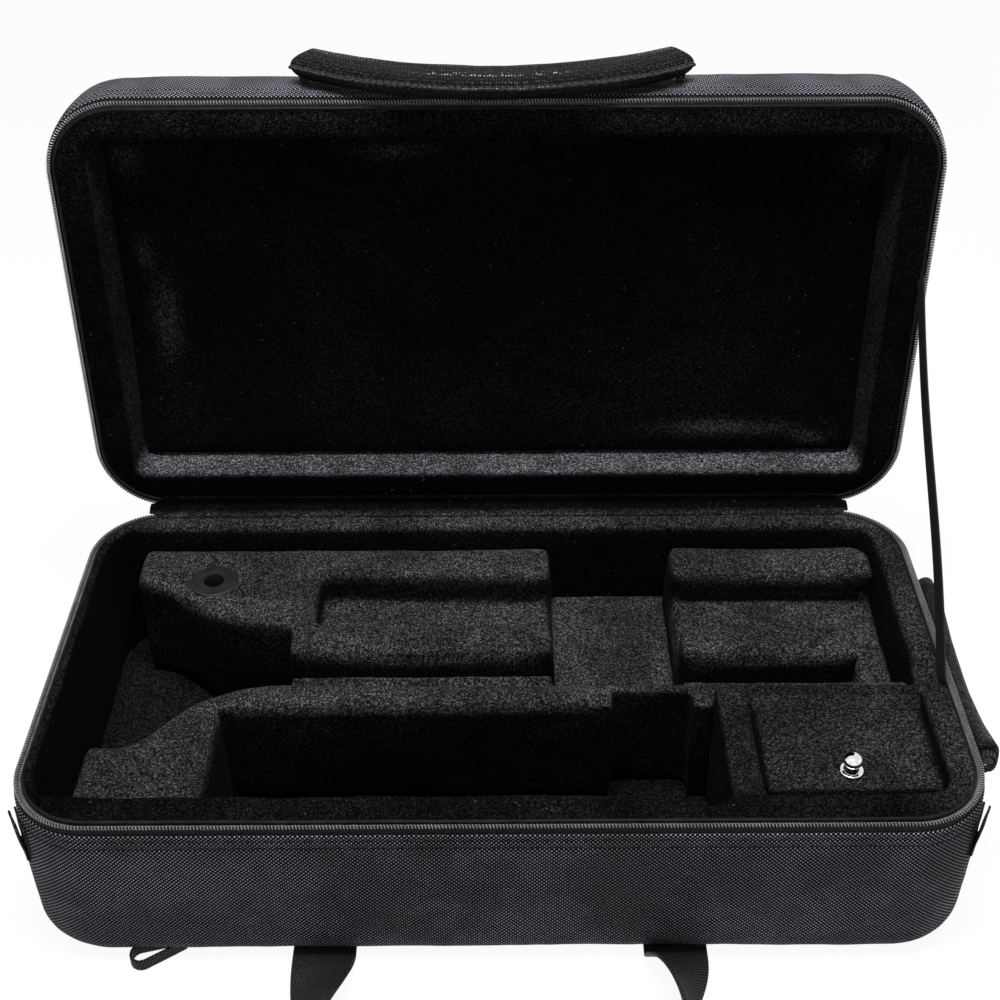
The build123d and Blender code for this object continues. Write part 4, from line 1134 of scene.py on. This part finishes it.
# Painted sheen on the swollen places, over an even level of painted light on the rest of the panel.
panel_painted_light = np.full(panel_points.shape[:2], 0.6)
for at_x, at_y, wide, high, bright in SWELLS:
    spot = ((panel_points[..., 0] - at_x) / wide) ** 2 + ((panel_points[..., 1] - at_y) / high) ** 2
    panel_painted_light += 2.2 * bright * np.exp(-1.6 * spot)
set_painted_light(dress(panel, PLUSH_IN_PAINTED_SHADE), panel_painted_light.ravel())
settle(panel, "lid", "plush", "lid_panel")
print("panel faces:", len(panel.data.polygons))

# %% [markdown]
# ## Handles
# Each handle is a padded tube wrapped in imitation leather and sewn shut along one side, where the edges of the
# wrap make a thin lip. The tube is built along the bow of its core. Its end faces are not square to the bow:
# towards the lip the wrap runs on to a point.

# %% A wrapped grip
def grip_frames(half_length, sag, spread=0.0, steps=90):
    """Points along the bow with the direction along it and the direction away from its centre."""
    bow = (half_length ** 2 + sag ** 2) / (2 * sag)
    end_angle = math.asin(half_length / bow)
    angle = np.linspace(-end_angle, end_angle, steps) * (1 + spread)
    centre = np.array([0, 0, bow - sag])
    outer = np.stack([np.sin(angle), np.zeros(steps), -np.cos(angle)], axis=1)
    ahead = np.stack([np.cos(angle), np.zeros(steps), np.sin(angle)], axis=1)
    return centre + outer * bow, ahead, outer


def wrapped_grip(name, half_length, sag, radius, place, seed):
    """Grip with its pointed end faces; place moves it from its own frame to where it is."""
    line, ahead, outer = grip_frames(half_length, sag)
    side = np.array([0.0, 1.0, 0.0])
    share = np.linspace(-1, 1, len(line))
    rows = []
    for angle in np.linspace(0, 2 * math.pi, 33)[:-1]:
        slim = 1 - 0.05 * np.abs(share) ** 3
        point_out = 2.5 + 8.5 * max(0.0, math.cos(angle)) ** 2
        reach = (outer * math.cos(angle) + side * math.sin(angle)) * (radius * slim)[:, None]
        rows.append(line + reach + ahead * (np.sign(share) * np.abs(share) ** 8 * point_out)[:, None])
    rows = np.array(rows).transpose(1, 0, 2)
    caps = []
    for end, sign in ((0, -1), (-1, 1)):
        middle = rows[end].mean(axis=0)
        cap = []
        for shrink, push in ((0.93, 0.9), (0.80, 1.1), (0.55, 0.4), (0.25, -0.3), (0.02, -0.5)):
            cap.append(middle + (rows[end] - middle) * shrink + ahead[end] * sign * push)
        caps.append(np.array(cap))
    rows = np.concatenate([caps[0][::-1], rows, caps[1]])
    grip = sheet_mesh(name, place(rows))
    ruffle(grip, [(0.35, 28, seed), (0.16, 9, seed + 1)])
    return dress(grip, LEATHER)


def seam_lip(name, half_length, sag, radius, place, seed):
    """Sewn lip along the outer side of the bow, with its row of stitches."""
    line, ahead, outer = grip_frames(half_length, sag, 0.085)
    side = np.array([0.0, 1.0, 0.0])
    wave = lump_values(line, 14, seed)[:, None]
    profile = [(radius - 0.8, 1.25), (radius + 1.2, 1.15), (radius + 2.5, 0.75), (radius + 2.9, 0.0),
               (radius + 2.5, -0.75), (radius + 1.2, -1.15), (radius - 0.8, -1.25)]
    rows = np.array([line + outer * (out + 0.35 * wave * (out > radius)) + side * (across + 0.25 * wave)
                     for out, across in profile])
    lip = dress(sheet_mesh(name, place(rows), closed=False), LEATHER_PAINTED_SHEEN)
    stitches = []
    for hand in (-1, 1):
        points = line + outer * (radius + 1.5) + side * (1.2 * hand)
        directions = np.repeat(side[None] * hand, len(points), axis=0)
        moved = place(points)
        stitches.append(sew(f"{name}_stitches_{hand + 1}", moved, place(points + directions) - moved, pitch=4.0))
    return lip, join_pieces(name + "_stitches", stitches)


def on_lid_front(points):
    """From the grip's own frame to the front wall of the open lid."""
    return swing(np.asarray(points) + [-2.0, -DEPTH / 2 - 11.2, LID_PLANE + 26.6])


def on_right_wall(points):
    """From the grip's own frame to the right wall of the base."""
    points = np.asarray(points, dtype=float)
    moved = np.stack([-points[..., 1], points[..., 0], points[..., 2]], axis=-1)
    return moved + [WIDTH / 2 + 10.0, 3.0, 86.0]


grip_faces = []
for kind, half_length, sag, radius, place, seed in (
    ("carry", 101.0, 32.0, 9.3, on_lid_front, 91), ("end", 69.0, 12.0, 8.0, on_right_wall, 95),
):
    grip = wrapped_grip(f"{kind}_grip", half_length, sag, radius, place, seed)
    lip, stitches = seam_lip(f"{kind}_lip", half_length, sag, radius, place, seed + 1)
    settle(grip, f"{kind}_handle", "leatherette", f"{kind}_handle_grip")
    settle(lip, f"{kind}_handle", "leatherette", f"{kind}_handle_seam")
    settle(stitches, f"{kind}_handle", "leatherette")
    grip_faces.append(len(grip.data.polygons))
print("grip faces:", *grip_faces)

# %% [markdown]
# ## Handle anchors and small webbing
# A folded loop on a sewn patch holds each end of a handle. Loop and patch keep their CAD shape with softened
# edges, and the weave is laid on each face from the side that the face looks to.

# %% Anchors
def small_soft(name, node, voxel, passes, body, slot):
    """Soft copy of a small webbing solid."""
    piece = rounded_solid(name, node, voxel, passes)
    box_map(piece)
    return settle(dress(piece, WEBBING), body, slot, node)


def box_map(piece):
    """UV in millimetres from whichever world axes a face looks along."""
    mesh = piece.data
    layer = mesh.uv_layers[0] if mesh.uv_layers else mesh.uv_layers.new(name="cloth")
    for polygon in mesh.polygons:
        axis = max(range(3), key=lambda k: abs(polygon.normal[k]))
        first, second = [k for k in range(3) if k != axis]
        for loop in polygon.loop_indices:
            place = mesh.vertices[mesh.loops[loop].vertex_index].co
            layer.data[loop].uv = (place[first] * 1000, place[second] * 1000)


for kind, body, hands in (("carry", "lid", ("left", "right")), ("end", "base", ("front", "back"))):
    for hand in hands:
        small_soft(f"{kind}_anchor_{hand}", f"{kind}_handle_anchor_{hand}", 0.7, 3, body, "handle_webbing")
print("webbing pieces ready")

# %% [markdown]
# ## Straps
# Webbing is a flat band. It is laid along a line of points with the direction across it given at each point, so
# it can lie flat, twist upright or bow round a bend, and its UV map runs along and across for the threads.

# %% Bands of webbing
def band(name, line, across, width, thickness):
    """Closed band of webbing along a line; across gives its width direction at each point."""
    ahead = unit(np.gradient(line, axis=0))
    across = unit(across - ahead * (across * ahead).sum(axis=1)[:, None])
    up = np.cross(ahead, across)
    half = 0.5 * thickness
    edge = half - thickness * 0.35
    flat = np.linspace(-0.38, 0.38, 6)
    profile = [(-0.5, -edge), (-0.47, -half)] + [(share, -half) for share in flat] + [(0.47, -half), (0.5, -edge)]
    profile += [(0.5, edge), (0.47, half)] + [(share, half) for share in -flat] + [(-0.47, half), (-0.5, edge)]
    profile.append(profile[0])
    rows = np.array([line + across * width * share + up * height for share, height in profile])
    piece = dress(sheet_mesh(name, rows, closed=False, flip=True), WEBBING)
    shape = bmesh.new()
    shape.from_mesh(piece.data)
    bmesh.ops.remove_doubles(shape, verts=shape.verts, dist=0.00001)
    bmesh.ops.holes_fill(shape, edges=shape.edges, sides=0)
    shape.to_mesh(piece.data)
    shape.free()
    return piece


STRAP_SIDE, STRAP_TURN, STRAP_REACH, STRAP_HEIGHT = 97.0, -138.0, -213.0, 17.65


def strap_line():
    """Middle line of the front webbing loop and the direction across it."""
    halves = []
    for hand in (-1, 1):
        line, across = [], []
        for y in np.linspace(-128.0, STRAP_TURN, 6):
            line.append((STRAP_SIDE * hand, y, 1.3))
            across.append((-hand, 0, 0))
        for share in np.linspace(0.03, 1.0, 34):
            turned = share ** 1.1 if hand < 0 else 1 - (1 - share) ** 2
            angle = turned * math.pi / 2
            lift = 17.5 * math.sin(angle) + 1.1 * math.cos(angle) + 0.15
            line.append((STRAP_SIDE * hand, STRAP_TURN + (STRAP_REACH - STRAP_TURN) * share, lift))
            across.append((-hand * math.cos(angle), 0, math.sin(angle)))
        for angle in np.linspace(0, math.pi / 2, 26)[1:]:
            line.append((STRAP_SIDE * hand * math.cos(angle), STRAP_REACH - 36.0 * math.sin(angle), STRAP_HEIGHT))
            across.append((0, 0, 1))
        halves.append((np.array(line), np.array(across, dtype=float)))
    (left_line, left_across), (right_line, right_across) = halves
    return np.vstack([left_line, right_line[::-1][1:]]), np.vstack([left_across, right_across[::-1][1:]])


TAB_FOLD, TAB_WIDTH, TAB_THICKNESS = 66.0, 20.0, 1.2


def tab_line(hand):
    """Webbing folded double and pressed flat, sewn in under the zip at a front corner."""
    angle = math.radians(-28.0 if hand > 0 else 208.0)
    out = np.array([math.cos(angle), math.sin(angle), 0])
    place = np.array([hand * STRAIGHT_X, -STRAIGHT_Y, 0.0])
    down = [(45.9, z) for z in np.linspace(87.0, TAB_FOLD, 12)]
    fold = [(46.7 - 0.8 * math.cos(turn), TAB_FOLD - 1.0 - 0.8 * math.sin(turn))
            for turn in np.linspace(0.3, math.pi - 0.3, 6)]
    back = [(47.5 + 1.8 * smooth_step(z, TAB_FOLD, 86.0), z) for z in np.linspace(TAB_FOLD, 85.5, 12)]
    line = np.array([place + out * reach + [0, 0, z] for reach, z in down + fold + back])
    return line, np.tile([-out[1], out[0], 0.0], (len(line), 1))


for side, hand in (("left", -1), ("right", 1)):
    tab = band(f"tab_{side}", *tab_line(hand), TAB_WIDTH, TAB_THICKNESS)
    settle(ruffle(tab, [(0.3, 9, 131 + hand)]), "base", "webbing", f"corner_tab_{side}")
strap_points, strap_across = strap_line()
carry_band = band("carry_band", strap_points, strap_across, 35.0, 2.0)
settle(carry_band, "base", "webbing", "carry_strap")

# %% [markdown]
# ## Lid stay, hinge cloth and small loop
# A flat tape on the right keeps the lid from falling back. It hangs between the two halves and twists a little.
# A strip of cloth along the back is the hinge. Both bend when the lid closes; here both are made only in their
# open shape and ride on neither body.

# %% Stay, hinge cloth, hanging loop
def stay_line():
    """Middle line of the lid stay from its foot to its head, and the direction across it."""
    foot, head = np.array([251.8, -31.0, 104.0]), np.array([253.8, 145.4, 268.5])
    share = np.linspace(0, 1, 46)[:, None]
    line = foot + (head - foot) * share
    sag = np.sin(math.pi * share[:, 0])
    line[:, 0] += 1.2 * np.sin(2 * math.pi * share[:, 0])
    line[:, 2] -= 1.5 * sag
    line[:, 1] -= 1.0 * sag
    direction = (head - foot) / np.linalg.norm(head - foot)
    flat = np.cross(direction, [1, 0, 0])
    twist = -0.16 + 0.12 * share
    across = flat * np.cos(twist) + np.array([1.0, 0, 0]) * np.sin(twist)
    return line, across


stay_points, stay_across = stay_line()
stay = band("stay_tape", stay_points, stay_across, 11.5, 1.0)
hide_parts("lid_stay")
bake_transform(stay)


def cross_rows(profile, low, high, count):
    """Rows across the case, one for each point of a profile of (y, z)."""
    across = np.linspace(low, high, count)
    return np.array([[(x, y, z) for x in across] for y, z in profile])


HINGE_PROFILE = [(138.3, 86.5), (138.6, 94.0), (138.8, 99.5), (139.6, 102.4), (141.8, 103.9), (145.0, 104.2),
                 (150.0, 104.0), (156.0, 103.7)]
hinge = sheet_mesh("hinge_cloth", cross_rows(HINGE_PROFILE, -200.0, 200.0, 134), closed=False)
ruffle(hinge, [(0.35, 30, 101), (0.2, 9, 102)])
thicken(dress(hinge, WEBBING), 0.8)
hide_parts("hinge_gusset")
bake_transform(hinge)


def lining_fold_rows():
    """Rows of the plush over the fold, which follow the corners of both halves, so no gap shows between them."""
    across = np.linspace(-229.0, 229.0, 154)
    turned = PLAN_CORNER - np.sqrt(PLAN_CORNER ** 2 - np.maximum(np.abs(across) - STRAIGHT_X, 0) ** 2)
    end_edge = smooth_step(np.abs(across), 219.0, 229.0)
    wide = [(130.6, 104.3), (132.6, 105.0), (135.0, 105.5), (137.6, 105.8), (139.8, 106.2), (141.2, 107.2),
            (141.7, 109.0), (141.7, 111.0), (142.3, 112.6)]
    narrow = [(137.2, 104.5), (137.8, 104.9), (138.4, 105.1), (139.0, 105.2), (139.8, 105.2), (140.6, 105.1),
              (141.3, 104.9), (142.0, 104.7), (142.6, 104.6)]
    rows = []
    for number, (broad, slim) in enumerate(zip(wide, narrow)):
        toward_lid = number / 8
        y = broad[0] + (slim[0] - broad[0]) * end_edge - turned * (1 - toward_lid)
        z = broad[1] + (slim[1] - broad[1]) * end_edge + turned * toward_lid
        rows.append(np.stack([across, y, z], axis=1))
    return np.array(rows)


fold = sheet_mesh("lining_fold", lining_fold_rows(), closed=False)
ruffle(fold, [(0.4, 24, 105), (0.2, 8, 106)])
# The fold's plush is painted lighter on the base's side and painted dark towards the lid, as shade.
set_painted_light(dress(fold, PLUSH), np.repeat(0.42 - 0.38 * smooth_step(np.arange(9), 0.5, 3), 154))
thicken(fold, 0.5)
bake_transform(fold)


small_soft("hanging_loop", "hang_loop", 0.5, 2, "base", "webbing")
print("stay length:", round(float(run_length(stay_points)[-1])), "mm")

# %% [markdown]
# ## Cloth hinge of the accessory lid
# The plush runs over the gap behind the accessory lid and lets it fold up. It is a soft strip that sinks a little
# between the box and the lid.

# %% Plush strip behind the accessory lid
STRIP_PROFILE = [(-35.5, 99.7), (-36.4, 100.4), (-38.4, 100.7), (-40.4, 100.4), (-41.6, 100.2), (-43.0, 100.4),
                 (-45.5, 100.7), (-47.2, 100.5), (-48.2, 99.9)]
strip = sheet_mesh("plush_hinge_strip", cross_rows(STRIP_PROFILE, 142.5, 236.5, 72), closed=False, flip=True)
ruffle(strip, [(0.35, 12, 111), (0.2, 5, 112)])
# The strip's plush gets a level of painted light a little below the blocks'.
thicken(set_painted_light(dress(strip, PLUSH), 0.4), 0.4)
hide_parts("accessory_hinge_tape")
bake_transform(strip)

# %% [markdown]
# ## Hard parts and hidden layers
# The knob, its flange and screw, the rubber ring, the zip sliders and their pulls are hard, so their CAD shape
# stays and only the finish is new. The foam, boards and handle cores inside keep their shape as well.

# %% Finishes on CAD parts
for material, names in (
    (CHROME, ("accessory_knob", "knob_flange", "knob_screw")),
    (BLACK_METAL, ("zip_slider_left", "zip_slider_right", "zip_pull_left", "zip_pull_right")),
    (RUBBER, ("mouthpiece_grommet",)),
    (FOAM, ("base_foam", "carry_handle_core", "end_handle_core")),
    (BOARD, ("base_board", "lid_board")),
):
    for name in names:
        dress_node(name, material)

# %% [markdown]
# ## Floor and light
# The case stands on a plain pale floor. One broad soft lamp hangs above and a little in front, so that the plush
# that faces up shows its sheen, added to the sheen painted on it, while the deep places stay black, helped by
# their painted shade. Three weaker lamps lift the front and the sides.
# The floor shows white to the camera and to mirrors, and keeps a soft shadow.

# %% Floor
def floor_material():
    """Pale floor that shows white to the camera and to mirrors and keeps the shadow."""
    material, tree, shader = start_material("pale floor", 0.9, 0.2)
    shader.inputs["Base Color"].default_value = (0.6, 0.6, 0.6, 1)
    path = tree.nodes.new("ShaderNodeLightPath")
    seen = math_node(tree, "MAXIMUM", path.outputs["Is Camera Ray"], path.outputs["Is Glossy Ray"])
    seen = math_node(tree, "MAXIMUM", seen, path.outputs["Is Transmission Ray"])
    glow = tree.nodes.new("ShaderNodeEmission")
    set_inputs(glow, Color=WHITE, Strength=1.1)
    mix = tree.nodes.new("ShaderNodeMixShader")
    tree.links.new(math_node(tree, "MULTIPLY", seen, 0.85), mix.inputs[0])
    tree.links.new(shader.outputs[0], mix.inputs[1])
    tree.links.new(glow.outputs[0], mix.inputs[2])
    tree.links.new(mix.outputs[0], tree.nodes["Material Output"].inputs["Surface"])
    return material


FLOOR_HALF = 4000
floor_corners = [(x * FLOOR_HALF, y * FLOOR_HALF, -0.4) for x, y in ((-1, -1), (1, -1), (1, 1), (-1, 1))]
floor = add_object("floor", floor_corners, [(0, 1, 2, 3)])
dress(floor, floor_material())

# %% Light
world = bpy.data.worlds.new("studio")
bpy.context.scene.world = world
world.use_nodes = True
sky = world.node_tree
background = sky.nodes["Background"]
set_inputs(background, Strength=0.05, Color=WHITE)
bright = sky.nodes.new("ShaderNodeBackground")
set_inputs(bright, Strength=1.0, Color=WHITE)
rays = sky.nodes.new("ShaderNodeLightPath")
choice = sky.nodes.new("ShaderNodeMixShader")
mirrored = math_node(sky, "MAXIMUM", rays.outputs["Is Glossy Ray"], rays.outputs["Is Transmission Ray"])
sky.links.new(math_node(sky, "MAXIMUM", rays.outputs["Is Camera Ray"], mirrored), choice.inputs[0])
sky.links.new(background.outputs[0], choice.inputs[1])
sky.links.new(bright.outputs[0], choice.inputs[2])
sky.links.new(choice.outputs[0], sky.nodes["World Output"].inputs["Surface"])


for name, place, target, size, watts in (
    ("overhead", (0.0, -0.15, 1.6), (0, 0.0, 0.1), (0.9, 0.5), 26),
    ("front", (0.1, -1.6, 0.9), (0, 0.0, 0.1), (0.8, 0.5), 4.0),
    ("left", (-1.5, -0.4, 0.9), (0, 0.0, 0.15), (0.7, 0.7), 0.8),
    ("right", (1.5, -0.2, 0.9), (0, 0.0, 0.15), (0.7, 0.7), 0.8),
):
    data = bpy.data.lights.new(name, "AREA")
    data.shape = "RECTANGLE"
    data.size, data.size_y = size
    data.energy = watts
    lamp = link(name, data)
    lamp.location = place
    lamp.rotation_euler = (Vector(target) - Vector(place)).to_track_quat("-Z", "Y").to_euler()
bpy.context.scene.view_settings.view_transform = "Standard"
print("lamps:", [light.name for light in bpy.data.lights])
